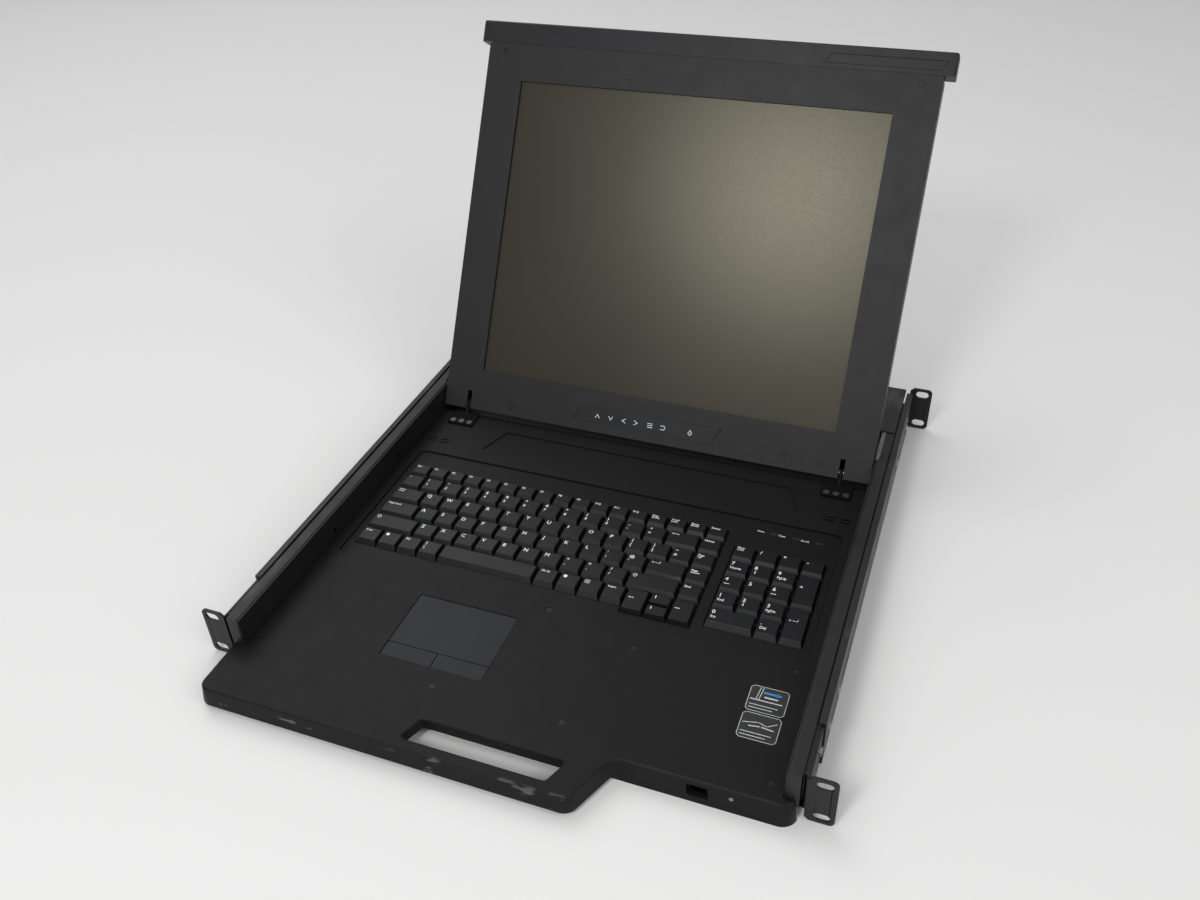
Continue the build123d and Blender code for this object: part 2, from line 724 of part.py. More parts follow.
# Front body of the deck: low fascia, handle and the hand hole
front_corner_back_y = 2 * front_corner_r
front_edge_z = deck_top_z - front_chamfer
with BuildPart() as palm_deck:
    with BuildSketch(Plane.XY.offset(front_edge_z)) as front_outline:
        with BuildLine():
            FilletPolyline(
                (-front_half_width, front_corner_back_y),
                (-front_half_width, handle_front_y),
                (handle_right_x, handle_front_y),
                (handle_root_x, fascia_front_y),
                (front_half_width, fascia_front_y),
                (front_half_width, front_corner_back_y),
                radius=front_corner_r,
                close=True,
            )
        make_face()
    extrude(amount=floor_z - front_edge_z, taper=-front_draft)
    extrude(front_outline.sketch, amount=front_chamfer, taper=chamfer_angle)
    with BuildSketch(Plane.XY.offset(deck_top_z)):
        rect(-rack_opening_half, rack_opening_half, front_back_y, 3 * front_corner_back_y)
    extrude(amount=floor_z - deck_top_z, mode=Mode.SUBTRACT)
    # Underside of the handle
    with BuildSketch(Plane.XY.offset(floor_z)):
        rect(-rack_opening_half, handle_root_x + front_corner_r, 2 * handle_front_y, fascia_under_y)
    extrude(amount=handle_low_z - floor_z, mode=Mode.SUBTRACT)
    with BuildSketch(Plane.XY.offset(handle_low_z)) as handle_under:
        rect(
            -front_half_width + handle_wall,
            handle_right_x - handle_wall,
            handle_front_y + handle_wall,
            fascia_under_y - handle_wall,
        )
        fillet(handle_under.vertices(), handle_wall)
    extrude(amount=handle_slab_low_z - handle_low_z, mode=Mode.SUBTRACT)
    with BuildSketch(Plane.XY.offset(handle_low_z)) as hand_hole:
        with BuildLine():
            Polyline(
                (handle_hole_left_x, handle_hole_back_y),
                (handle_hole_left_x - handle_hole_slant, handle_hole_front_y),
                (handle_hole_right_x - handle_hole_slant, handle_hole_front_y),
                (handle_hole_right_x, handle_hole_back_y),
                close=True,
            )
        make_face()
        fillet(hand_hole.vertices(), handle_hole_corner_r)
    extrude(amount=deck_top_z - handle_low_z, mode=Mode.SUBTRACT)
    hole_top = palm_deck.edges().filter_by_position(Axis.Z, deck_top_z - tiny, deck_top_z + tiny)
    in_hole = hole_top.filter_by(lambda edge: handle_front_y + handle_wall < edge.center().Y < fascia_under_y)
    chamfer(in_hole.filter_by(lambda edge: abs(edge.center().X) < handle_hole_right_x + 1), deck_hole_chamfer)
    # Openings of the port and the light
    with BuildSketch(across(handle_front_y)):
        with Locations((port_x, port_z)):
            RectangleRounded(port_opening_width, port_opening_height, bend_r)
        with Locations((front_light_x, front_light_z)):
            Circle(light_r + light_play)
    extrude(amount=handle_front_y - front_back_y, mode=Mode.SUBTRACT)
    # Plate between the side walls
    with BuildSketch(Plane.XY.offset(deck_low_z)):
        rect(-tray_inner_x + deck_gap, tray_inner_x - deck_gap, front_back_y, deck_rear_y)
    extrude(amount=deck_sheet)
    with BuildSketch(Plane.XY.offset(deck_low_z)) as deck_openings:
        rect(frame_left_x - frame_gap, frame_right_x + frame_gap, frame_front_y - frame_gap, frame_back_y + frame_gap)
        fillet(deck_openings.vertices(), frame_corner + frame_gap)
        rect(pad_left_x - pad_gap, pad_right_x + pad_gap, pad_front_y - pad_gap, pad_back_y + pad_gap)
        for side in (-1, 1):
            for vent_row_y in vent_y:
                with Locations(*[(side * vent_at, vent_row_y) for vent_at in vent_x]):
                    SlotOverall(vent_length, vent_width)
    extrude(amount=deck_sheet, mode=Mode.SUBTRACT)
    # Shallow recess behind the keyboard
    with BuildSketch(Plane.XY.offset(deck_top_z)):
        with BuildLine():
            Polyline(
                (recess_left_x, recess_back_y),
                (recess_right_x, recess_back_y),
                (recess_right_x + recess_slant, recess_front_y),
                (recess_left_x - recess_slant, recess_front_y),
                close=True,
            )
        make_face()
    extrude(amount=-recess_depth, mode=Mode.SUBTRACT)
    with BuildSketch(Plane.XY.offset(deck_top_z)):
        with Locations(*deck_screw_places):
            RegularPolygon(radius=deck_screw_r, side_count=head_sides)
    extrude(amount=-deck_screw_depth, mode=Mode.SUBTRACT)
save(palm_deck.part, "palm_deck")

# Keyboard layout: the widths of each row in key units from left to right
main_rows = (
    ("keys_bottom_row", [1, 1, 1, 1]),
    ("keys_z_row", [2.25] + 10 * [1] + [2.25, 1]),
    ("keys_a_row", [1.75] + 11 * [1] + [1.75, 1]),
    ("keys_q_row", [1.5] + 14 * [1]),
    ("keys_number_row", 13 * [1] + [1.5, 1]),
)
space_units = 4.5
after_space = [1, 1, 1, 1]
arrow_units = 3
function_keys = 17
row_units = 15.5


def row_cells(left_x, front_y, depth, unit, widths):
    """Cells of one row of keys as limits in X and Y."""
    cells = []
    for width in widths:
        cells.append((left_x, left_x + width * unit, front_y, front_y + depth))
        left_x = left_x + width * unit
    return cells


def key_cap(cell, front_slope):
    """Tapered cap above its cell."""
    left_x, right_x, front_y, back_y = cell
    inset = key_gap / 2
    with BuildPart() as cap:
        with BuildSketch(Plane.XY.offset(key_skirt_z)):
            rect(left_x + inset, right_x - inset, front_y + inset, back_y - inset)
        with BuildSketch(Plane.XY.offset(key_top_z)):
            rect(
                left_x + inset + key_side_slope,
                right_x - inset - key_side_slope,
                front_y + inset + front_slope,
                back_y - inset - key_back_slope,
            )
        loft(ruled=True)
    return cap.part.solids()


def stem_places(cells):
    """Centre of each cell, or three places along a cell as wide as the space bar."""
    places = []
    for left_x, right_x, front_y, back_y in cells:
        middle = (front_y + back_y) / 2
        places.append(((left_x + right_x) / 2, middle))
        if right_x - left_x > 4 * key_unit:
            places.append((left_x + key_unit / 2, middle))
            places.append((right_x - key_unit / 2, middle))
    return places


def key_row(cells, name, low_cells=()):
    """Caps of a row with the square stems that reach down through the guide plate."""
    solids = []
    for cell in cells:
        solids.extend(key_cap(cell, arrow_front_slope if cell in low_cells else key_front_slope))
    with BuildPart() as stems:
        with BuildSketch(Plane.XY.offset(stem_low_z)):
            with Locations(*stem_places(cells)):
                Rectangle(stem_side, stem_side)
        extrude(amount=key_skirt_z - stem_low_z)
    solids.extend(stems.part.solids())
    save(Compound(children=solids), name)


space_left_x = main_left_x + len(main_rows[0][1]) * key_unit
space_right_x = space_left_x + space_units * key_unit
main_right_x = main_left_x + row_units * key_unit
arrow_left_x = main_right_x - arrow_units * key_unit
row_ends_y = [main_front_y + n * key_unit for n in range(len(main_rows) + 1)]
keyboard_cells = []

for (row_name, row_widths), row_y in zip(main_rows, row_ends_y):
    cells_of_row = row_cells(main_left_x, row_y, key_unit, key_unit, row_widths)
    arrow_cells = []
    if row_y == main_front_y:
        cells_of_row += row_cells(space_right_x, row_y, key_unit, key_unit, after_space)
        arrow_depth = row_ends_y[1] - arrow_front_y
        left_arrow, middle_arrow, right_arrow = row_cells(
            arrow_left_x, arrow_front_y, arrow_depth, key_unit, arrow_units * [1]
        )
        half_y = arrow_front_y + arrow_depth / 2
        down_arrow = (middle_arrow[0], middle_arrow[1], arrow_front_y, half_y)
        up_arrow = (middle_arrow[0], middle_arrow[1], half_y, row_ends_y[1])
        arrow_cells = [left_arrow, down_arrow, up_arrow, right_arrow]
        cells_of_row += arrow_cells
    key_row(cells_of_row, row_name, arrow_cells)
    keyboard_cells += cells_of_row

space_cells = [(space_left_x, space_right_x, main_front_y, row_ends_y[1])]
key_row(space_cells, "space_bar")
keyboard_cells += space_cells

function_unit = (main_right_x - main_left_x) / function_keys
function_cells = row_cells(main_left_x, row_ends_y[-1], function_depth, function_unit, function_keys * [1])
key_row(function_cells, "keys_function_row")
keyboard_cells += function_cells

# Number pad with two tall keys and a wide zero
numpad_cells = []
for level in range(5):
    pad_y = numpad_front_y + level * key_unit
    numpad_widths = {0: [2, 1], 1: [1, 1, 1], 2: [1, 1, 1], 3: [1, 1, 1], 4: [1, 1, 1, 1]}[level]
    numpad_cells += row_cells(numpad_left_x, pad_y, key_unit, key_unit, numpad_widths)
for level in (0, 2):
    tall_y = numpad_front_y + level * key_unit
    numpad_cells += row_cells(numpad_left_x + 3 * key_unit, tall_y, 2 * key_unit, key_unit, [1])
key_row(numpad_cells, "keys_number_pad")
keyboard_cells += numpad_cells
numpad_right_x = numpad_left_x + 4 * key_unit

# Keyboard frame around the blocks of keys
with BuildPart() as keyboard_frame:
    with BuildSketch(Plane.XY.offset(guide_top_z)) as frame_outline:
        rect(frame_left_x, frame_right_x, frame_front_y, frame_back_y)
        fillet(frame_outline.vertices(), frame_corner)
    extrude(amount=frame_top_z - guide_top_z)
    with BuildSketch(Plane.XY.offset(guide_top_z)) as frame_inside:
        rect(
            frame_left_x + frame_rim,
            frame_right_x - frame_rim,
            frame_front_y + frame_rim,
            frame_back_y - frame_rim,
        )
    extrude(amount=frame_low_z - guide_top_z, mode=Mode.SUBTRACT)
    with BuildSketch(Plane.XY.offset(frame_low_z)):
        rect(
            main_left_x - frame_key_gap,
            main_right_x + frame_key_gap,
            main_front_y - frame_key_gap,
            row_ends_y[-1] + function_depth + frame_key_gap,
        )
        rect(
            arrow_left_x - frame_key_gap,
            main_right_x + frame_key_gap,
            arrow_front_y - frame_key_gap,
            main_front_y,
        )
        rect(
            numpad_left_x - frame_key_gap,
            numpad_right_x + frame_key_gap,
            numpad_front_y - frame_key_gap,
            numpad_front_y + 5 * key_unit + frame_key_gap,
        )
        with Locations(*[(x, lock_light_y) for x in lock_light_x]):
            Rectangle(lock_light_size[0] + light_play, lock_light_size[1] + light_play)
    extrude(amount=frame_sheet, mode=Mode.SUBTRACT)
save(keyboard_frame.part, "keyboard_frame")

# Guide plate with a square hole for each stem and a rim down to the base plate
all_stems = stem_places(keyboard_cells)
with BuildPart() as key_guide_plate:
    with BuildSketch(Plane.XY.offset(base_plate_top_z)):
        rect(frame_left_x, frame_right_x, frame_front_y, frame_back_y)
    extrude(amount=guide_top_z - base_plate_top_z)
    with BuildSketch(Plane.XY.offset(base_plate_top_z)):
        rect(
            frame_left_x + frame_rim,
            frame_right_x - frame_rim,
            frame_front_y + frame_rim,
            frame_back_y - frame_rim,
        )
    extrude(amount=guide_low_z - base_plate_top_z, mode=Mode.SUBTRACT)
    with BuildSketch(Plane.XY.offset(guide_low_z)):
        with Locations(*all_stems):
            Rectangle(stem_side + 2 * stem_play, stem_side + 2 * stem_play)
    extrude(amount=guide_sheet, mode=Mode.SUBTRACT)
save(key_guide_plate.part, "key_guide_plate")

with BuildPart() as keyboard_membrane:
    with BuildSketch(Plane.XY.offset(base_plate_top_z)):
        rect(
            frame_left_x + frame_rim + panel_gap,
            frame_right_x - frame_rim - panel_gap,
            frame_front_y + frame_rim + panel_gap,
            frame_back_y - frame_rim - panel_gap,
        )
    extrude(amount=membrane_sheet)
save(keyboard_membrane.part, "keyboard_membrane")

with BuildPart() as key_base_plate:
    with BuildSketch(Plane.XY.offset(base_plate_low_z)):
        rect(frame_left_x, frame_right_x, frame_front_y, frame_back_y)
    extrude(amount=base_plate_sheet)
save(key_base_plate.part, "key_base_plate")

# One rubber dome under each stem
domes = []
for stem in all_stems:
    with BuildPart() as dome:
        with BuildSketch(Plane.XY.offset(membrane_top_z)):
            with Locations(stem):
                RegularPolygon(radius=dome_base_r, side_count=6)
        with BuildSketch(Plane.XY.offset(membrane_top_z + dome_height)):
            with Locations(stem):
                RegularPolygon(radius=dome_tip_r, side_count=6)
        loft(ruled=True)
    domes.extend(dome.part.solids())
save(Compound(children=domes), "rubber_domes")

# Touchpad: surface, two buttons, board and the frame that spaces the board from the deck
with BuildPart() as touchpad_surface:
    with BuildSketch(Plane.XY.offset(pad_board_top_z)):
        rect(pad_left_x, pad_right_x, pad_seam_y, pad_back_y)
    extrude(amount=pad_module_height)
save(touchpad_surface.part, "touchpad_surface")

pad_split_x = (pad_left_x + pad_right_x) / 2
pad_button_limits = (
    ("left", pad_left_x, pad_split_x - pad_gap / 2),
    ("right", pad_split_x + pad_gap / 2, pad_right_x),
)
for side_name, low_x, high_x in pad_button_limits:
    with BuildPart() as touchpad_button:
        with BuildSketch(Plane.XY.offset(pad_top_z - pad_button_sheet)):
            rect(low_x, high_x, pad_front_y, pad_seam_y - pad_gap)
        extrude(amount=pad_button_sheet)
        chamfer(touchpad_button.edges().group_by(Axis.Z)[-1], pad_button_chamfer)
    save(touchpad_button.part, f"touchpad_button_{side_name}")

with BuildPart() as touchpad_board:
    with BuildSketch(Plane.XY.offset(pad_board_top_z - pad_board_sheet)):
        rect(
            pad_left_x - pad_board_edge,
            pad_right_x + pad_board_edge,
            pad_front_y - pad_board_edge,
            pad_back_y + pad_board_edge,
        )
    extrude(amount=pad_board_sheet)
    with BuildSketch(Plane.XY.offset(pad_board_top_z)):
        with Locations(*[((low + high) / 2, (pad_front_y + pad_seam_y) / 2) for _, low, high in pad_button_limits]):
            RegularPolygon(radius=pad_switch_r, side_count=12)
    extrude(amount=pad_switch_height)
save(touchpad_board.part, "touchpad_board")

with BuildPart() as touchpad_spacer:
    with BuildSketch(Plane.XY.offset(pad_board_top_z)):
        rect(
            pad_left_x - pad_board_edge,
            pad_right_x + pad_board_edge,
            pad_front_y - pad_board_edge,
            pad_back_y + pad_board_edge,
        )
        rect(
            pad_left_x - pad_gap,
            pad_right_x + pad_gap,
            pad_front_y - pad_gap,
            pad_back_y + pad_gap,
            mode=Mode.SUBTRACT,
        )
    extrude(amount=deck_low_z - pad_board_top_z)
save(touchpad_spacer.part, "touchpad_spacer")

# Front port, its board and the status light
with BuildPart() as front_port:
    with BuildSketch(across(port_front_y)):
        with Locations((port_x, port_z)):
            Rectangle(port_width, port_height)
    extrude(amount=port_front_y - port_back_y)
    with BuildSketch(across(port_front_y)):
        with Locations((port_x, port_z)):
            Rectangle(port_cavity_width, port_cavity_height)
    extrude(amount=port_front_y - port_back_y + port_back_wall, mode=Mode.SUBTRACT)
    with BuildSketch(across(port_front_y + port_tongue_back)):
        with Locations((port_x, port_z + port_cavity_height / 2 - port_tongue_height)):
            Rectangle(port_cavity_width - 2 * port_tongue_side_gap, port_tongue_height)
    extrude(amount=port_front_y + port_tongue_back - port_back_y)
save(front_port.part, "front_port")

with BuildPart() as front_board:
    with BuildSketch(Plane.XY.offset(port_board_top_z - board_sheet)):
        rect(front_board_left_x, front_board_right_x, front_board_front_y, front_board_back_y)
    extrude(amount=board_sheet)
    with BuildSketch(Plane.XY.offset(pan_top_z)):
        for board_x in (front_board_left_x + board_post_inset, front_board_right_x - board_post_inset):
            with Locations((board_x, front_board_back_y - board_post_inset)):
                RegularPolygon(radius=screw_head_r, side_count=6)
    extrude(amount=port_board_top_z - board_sheet - pan_top_z)
save(front_board.part, "front_board")

with BuildPart() as status_light:
    with BuildSketch(across(light_front_y)):
        with Locations((front_light_x, front_light_z)):
            Circle(light_r)
    extrude(amount=light_front_y - light_block_back_y)
    with BuildSketch(Plane.XY.offset(port_board_top_z)):
        rect(
            front_light_x - 1.5 * light_r,
            front_light_x + 1.5 * light_r,
            light_block_back_y - 2 * light_r,
            light_block_back_y,
        )
    extrude(amount=front_light_z + light_r - port_board_top_z)
save(status_light.part, "status_light")

with BuildPart() as lock_lights:
    with BuildSketch(Plane.XY.offset(guide_top_z)):
        with Locations(*[(x, lock_light_y) for x in lock_light_x]):
            Rectangle(*lock_light_size)
    extrude(amount=frame_top_z - guide_top_z)
save(lock_lights.part, "lock_lights")

# Hinge leaves: foot, upright plate and eye, one on each side
leaf_top_z = deck_top_z + leaf_foot_sheet
eye_y = hinge_centre.Y
eye_z = hinge_centre.Z
with BuildPart() as hinge_leaves:
    with BuildSketch(Plane.YZ.offset(hinge_x - leaf_sheet / 2)):
        with Locations((eye_y, eye_z)):
            Circle(leaf_eye_r)
        rect(leaf_front_y, deck_rear_y, deck_top_z, leaf_top_z)
        make_hull()
        with Locations((eye_y, eye_z)):
            Circle(hinge_pin_r + hinge_play, mode=Mode.SUBTRACT)
    extrude(amount=leaf_sheet)
    with BuildSketch(Plane.XY.offset(deck_top_z)) as leaf_foot:
        rect(hinge_x - leaf_foot_half, hinge_x + leaf_foot_half, leaf_foot_front_y, deck_rear_y)
        fillet(leaf_foot.vertices(), 2 * bend_r)
    extrude(amount=leaf_foot_sheet)
    with BuildSketch(Plane.XY.offset(leaf_top_z)):
        with Locations(*leaf_screw_places):
            RegularPolygon(radius=deck_screw_r, side_count=head_sides)
    extrude(amount=-deck_screw_depth, mode=Mode.SUBTRACT)
    mirror(about=Plane.YZ)
save(hinge_leaves.part, "hinge_leaves")

# Screws of the deck and of the hinge feet
with BuildPart() as deck_screws:
    with BuildSketch(Plane.XY.offset(deck_top_z - deck_screw_depth)):
        with Locations(*deck_screw_places):
            RegularPolygon(radius=deck_screw_r - light_play, side_count=head_sides)
    extrude(amount=screw_head_height)
    with BuildSketch(Plane.XY.offset(leaf_top_z - deck_screw_depth)):
        with Locations(*leaf_screw_places):
            RegularPolygon(radius=deck_screw_r - light_play, side_count=head_sides)
        mirror(about=Plane.YZ)
    extrude(amount=screw_head_height)
save(deck_screws.part, "deck_screws")

# Small screws on the inside of the tray walls
with BuildPart() as wall_screws:
    with BuildSketch(Plane.YZ.offset(tray_inner_x - wall_screw_height)):
        with Locations(*wall_screw_places):
            RegularPolygon(radius=wall_screw_r, side_count=head_sides)
    extrude(amount=wall_screw_height)
    mirror(about=Plane.YZ)
save(wall_screws.part, "wall_screws")


def behind(depth):
    """Plane parallel to the display's face, the given depth behind it."""
    return display_face.offset(-depth)


def display_outline(inset=0.0):
    """Outer rectangle of the display housing on its face plane."""
    rect(
        -display_half_width + inset,
        display_half_width - inset,
        display_low_u + inset,
        display_high_u - inset,
    )


def hinge_slots(width, low_u, high_u):
    """Rectangles at both hinges."""
    for side in (-1, 1):
        rect(side * hinge_x - width / 2, side * hinge_x + width / 2, low_u, high_u)


strip_points = (
    (strip_left_x, strip_high_u),
    (strip_left_x - strip_slant, strip_low_u),
    (strip_right_x - strip_slant, strip_low_u),
    (strip_right_x, strip_high_u),
)
insert_points = (
    (insert_left_x, insert_high_u),
    (insert_left_x - insert_slant, insert_low_u),
    (insert_right_x - insert_slant, insert_low_u),
    (insert_right_x, insert_high_u),
)

# Display bezel
module_u = screen_height / 2
with BuildPart() as display_bezel:
    with BuildSketch(behind(bezel_depth)) as bezel_outline:
        display_outline()
        fillet(bezel_outline.vertices(), bezel_corner)
    extrude(amount=bezel_depth)
    with BuildSketch(behind(bezel_depth)):
        display_outline(bezel_wall)
    extrude(amount=bezel_depth - bezel_wall, mode=Mode.SUBTRACT)
    with BuildSketch(behind(bezel_wall + glass_sheet + backlight_depth)):
        with Locations((0, module_u)):
            with GridLocations(module_width + 2 * panel_post_out, bracket_pitch_u, 2, 2):
                RegularPolygon(radius=screw_head_r, side_count=6)
    extrude(amount=glass_sheet + backlight_depth)
    with BuildSketch(behind(0)):
        rect(-screen_width / 2, screen_width / 2, 0, screen_height)
    extrude(amount=-bezel_wall, taper=bezel_opening_taper, mode=Mode.SUBTRACT)
    with BuildSketch(behind(0)) as strip_pocket:
        with BuildLine():
            Polyline(*strip_points, close=True)
        make_face()
        offset(amount=strip_play, kind=Kind.INTERSECTION)
    extrude(amount=-strip_depth, mode=Mode.SUBTRACT)
    with BuildSketch(behind(0)):
        with Locations(*bezel_screw_places):
            RegularPolygon(radius=bezel_screw_r + light_play, side_count=head_sides)
    extrude(amount=-deck_screw_depth, mode=Mode.SUBTRACT)
    with BuildSketch(behind(0)):
        hinge_slots(hinge_slot_width, display_low_u - hinge_slot_overrun, hinge_slot_top_u)
    extrude(amount=-bezel_depth, mode=Mode.SUBTRACT)
save(display_bezel.part, "display_bezel")

# Rear shell of the display
display_post_pitch_x = display_board_width - 2 * board_post_from_edge
display_post_pitch_u = display_board_height - 2 * board_post_from_edge
with BuildPart() as display_shell:
    with BuildSketch(behind(display_depth)) as shell_outline:
        display_outline()
        fillet(shell_outline.vertices(), bezel_corner)
    extrude(amount=display_depth - bezel_depth)
    with BuildSketch(behind(display_depth - rear_shell_sheet)):
        display_outline(rear_shell_sheet)
    extrude(amount=display_depth - bezel_depth - rear_shell_sheet, mode=Mode.SUBTRACT)
    with BuildSketch(behind(display_depth - rear_shell_sheet)):
        with Locations((0, board_centre_u)):
            with GridLocations(display_post_pitch_x, display_post_pitch_u, 2, 2):
                RegularPolygon(radius=screw_head_r, side_count=6)
    extrude(amount=display_board_standoff)
    with BuildSketch(behind(bezel_depth)):
        hinge_slots(hinge_slot_width, display_low_u - hinge_slot_overrun, display_low_u + 2 * rear_shell_sheet)
    extrude(amount=-shell_slot_depth, mode=Mode.SUBTRACT)
save(display_shell.part, "display_shell")

# Screen module: glass in front, backlight box behind
with BuildPart() as display_panel:
    with BuildSketch(behind(bezel_wall)):
        with Locations((0, module_u)):
            Rectangle(module_width, module_height)
    extrude(amount=-glass_sheet)
save(display_panel.part, "display_panel")

with BuildPart() as display_backlight:
    with BuildSketch(behind(bezel_wall + glass_sheet)):
        with Locations((0, module_u)):
            Rectangle(module_width, module_height)
    extrude(amount=-backlight_depth)
save(display_backlight.part, "display_backlight")

with BuildPart() as display_board:
    with BuildSketch(behind(display_depth - rear_shell_sheet - display_board_standoff)):
        with Locations((0, board_centre_u)):
            Rectangle(display_board_width, display_board_height)
    extrude(amount=board_sheet)
save(display_board.part, "display_board")

# Steel brackets that hold the screen module to the bezel's sides
panel_bracket_pitch = module_width - panel_bracket_width + 2 * panel_bracket_reach
with BuildPart() as panel_brackets:
    with BuildSketch(behind(bezel_wall + glass_sheet + backlight_depth)):
        with Locations((0, module_u)):
            with GridLocations(panel_bracket_pitch, bracket_pitch_u, 2, 2):
                Rectangle(panel_bracket_width, panel_bracket_height)
    extrude(amount=-rear_shell_sheet)
save(panel_brackets.part, "panel_brackets")

# Control strip in the lower edge of the bezel, with its board behind
with BuildPart() as control_strip:
    with BuildSketch(behind(strip_depth)) as strip_face:
        with BuildLine():
            Polyline(*strip_points, close=True)
        make_face()
        fillet(strip_face.vertices().sort_by(Axis.X)[-2:], strip_corner_r)
    extrude(amount=strip_depth - strip_sink)
save(control_strip.part, "control_strip")

with BuildPart() as control_board:
    with BuildSketch(behind(bezel_wall)):
        rect(strip_left_x, strip_right_x, control_board_low_u, control_board_high_u)
    extrude(amount=-board_sheet)
save(control_board.part, "control_board")

# Bar along the display's upper edge, used to lift it
bar_plane = Plane(
    origin=display_face.from_local_coords(Vector(0, display_high_u + bar_gap, 0)),
    x_dir=(1, 0, 0),
    z_dir=display_face.y_dir,
)
with BuildPart() as top_bar:
    with BuildSketch(bar_plane) as bar_section:
        rect(-bar_half_width, bar_half_width, 0, display_depth)
        fillet(bar_section.vertices(), bar_corner_r)
    extrude(amount=bar_high_u - display_high_u - bar_gap)
    chamfer(top_bar.faces().sort_by(Axis((0, 0, 0), tuple(display_face.y_dir)))[-1].edges(), bar_chamfer)
    with BuildSketch(behind(0)):
        with BuildLine():
            Polyline(*insert_points, close=True)
        make_face()
        offset(amount=strip_play, kind=Kind.INTERSECTION)
    extrude(amount=-insert_depth, mode=Mode.SUBTRACT)
save(top_bar.part, "top_bar")

with BuildPart() as bar_insert:
    with BuildSketch(behind(insert_depth)):
        with BuildLine():
            Polyline(*insert_points, close=True)
        make_face()
    extrude(amount=insert_depth - strip_sink)
save(bar_insert.part, "bar_insert")

# Hinge cheeks and pins inside the display's lower corners
cheek_plane = Plane(origin=(hinge_x, hinge_centre.Y, hinge_centre.Z), x_dir=display_face.y_dir, z_dir=(1, 0, 0))
cheek_low_u = display_low_u - hinge_u + bezel_wall + strip_play
cheek_back = display_depth - rear_shell_sheet - hinge_behind_face
cheek_front = hinge_behind_face - bezel_wall - strip_play
with BuildPart() as hinge_cheeks:
    with BuildSketch(cheek_plane.offset(-hinge_slot_width / 2 - cheek_sheet)):
        rect(cheek_low_u, cheek_high_u, -cheek_back, cheek_front)
        Circle(hinge_pin_r, mode=Mode.SUBTRACT)
    extrude(amount=cheek_sheet)
    mirror(about=cheek_plane)
    with BuildSketch(cheek_plane.offset(-hinge_slot_width / 2)):
        rect(cheek_low_u, cheek_high_u, -cheek_back, cheek_sheet - cheek_back)
    extrude(amount=hinge_slot_width)
    mirror(about=Plane.YZ)
save(hinge_cheeks.part, "hinge_cheeks")

with BuildPart() as hinge_pins:
    with BuildSketch(cheek_plane.offset(-hinge_pin_half)):
        Circle(hinge_pin_r)
    extrude(amount=2 * hinge_pin_half)
    mirror(about=Plane.YZ)
save(hinge_pins.part, "hinge_pins")

with BuildPart() as bezel_screws:
    with BuildSketch(behind(deck_screw_depth)):
        with Locations(*bezel_screw_places):
            RegularPolygon(radius=bezel_screw_r, side_count=head_sides)
    extrude(amount=screw_head_height)
save(bezel_screws.part, "bezel_screws")
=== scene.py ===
import math

import bmesh
import bpy
from mathutils import Matrix, Vector


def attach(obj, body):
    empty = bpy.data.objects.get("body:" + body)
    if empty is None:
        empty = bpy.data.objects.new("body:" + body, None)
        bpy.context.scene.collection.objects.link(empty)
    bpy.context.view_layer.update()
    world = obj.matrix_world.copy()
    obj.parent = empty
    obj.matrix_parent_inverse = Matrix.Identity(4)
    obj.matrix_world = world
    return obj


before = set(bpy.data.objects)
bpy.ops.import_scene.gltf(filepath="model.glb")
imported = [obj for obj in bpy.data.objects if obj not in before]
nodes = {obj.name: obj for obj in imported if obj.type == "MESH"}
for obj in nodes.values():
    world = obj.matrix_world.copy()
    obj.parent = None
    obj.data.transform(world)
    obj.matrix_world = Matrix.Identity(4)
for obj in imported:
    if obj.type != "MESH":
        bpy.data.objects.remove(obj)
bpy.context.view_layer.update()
MM = 0.001
HALF_UNIT = 22.225  # half of one rack unit, in millimetres

# ------------------------------------------------------------------ camera
CAMERA_AT = (0.2674, -0.43505, 0.594725)
CAMERA_ANGLES = (22.155, 36.515, -2.545)  # turn, height and roll in degrees
SENSOR_WIDTH = 36.0
FOCAL_LENGTH = 32.5


def camera_matrix():
    """Rotation and place of the photograph's camera."""
    turn, height, roll = (math.radians(a) for a in CAMERA_ANGLES)
    back = Vector((math.sin(turn) * math.cos(height), -math.cos(turn) * math.cos(height), math.sin(height)))
    right = (-back).cross(Vector((0, 0, 1))).normalized()
    up = right.cross(-back)
    side = right * math.cos(roll) + up * math.sin(roll)
    top = up * math.cos(roll) - right * math.sin(roll)
    matrix = Matrix((side, top, back)).transposed().to_4x4()
    matrix.translation = Vector(CAMERA_AT)
    return matrix


camera_data = bpy.data.cameras.new("camera")
camera_data.sensor_width = SENSOR_WIDTH
camera_data.lens = FOCAL_LENGTH
camera = bpy.data.objects.new("camera", camera_data)
camera.matrix_world = camera_matrix()
bpy.context.scene.collection.objects.link(camera)
bpy.context.scene.camera = camera
bpy.context.scene.view_settings.view_transform = "Standard"


# --------------------------------------------------------------- materials
def new_material(name):
    """Material, its node tree and its principled shader."""
    material = bpy.data.materials.new(name)
    material.use_nodes = True
    tree = material.node_tree
    return material, tree, tree.nodes["Principled BSDF"]


def noise(tree, scale, detail=2.0, stretch=None):
    """Noise in the object's own coordinates, stretched along the axes where that is asked."""
    coords = tree.nodes.new("ShaderNodeTexCoord")
    node = tree.nodes.new("ShaderNodeTexNoise")
    node.inputs["Scale"].default_value = scale
    node.inputs["Detail"].default_value = detail
    if stretch:
        mapping = tree.nodes.new("ShaderNodeMapping")
        mapping.inputs["Scale"].default_value = stretch
        tree.links.new(coords.outputs["Object"], mapping.inputs["Vector"])
        tree.links.new(mapping.outputs["Vector"], node.inputs["Vector"])
    else:
        tree.links.new(coords.outputs["Object"], node.inputs["Vector"])
    return node.outputs["Fac"]


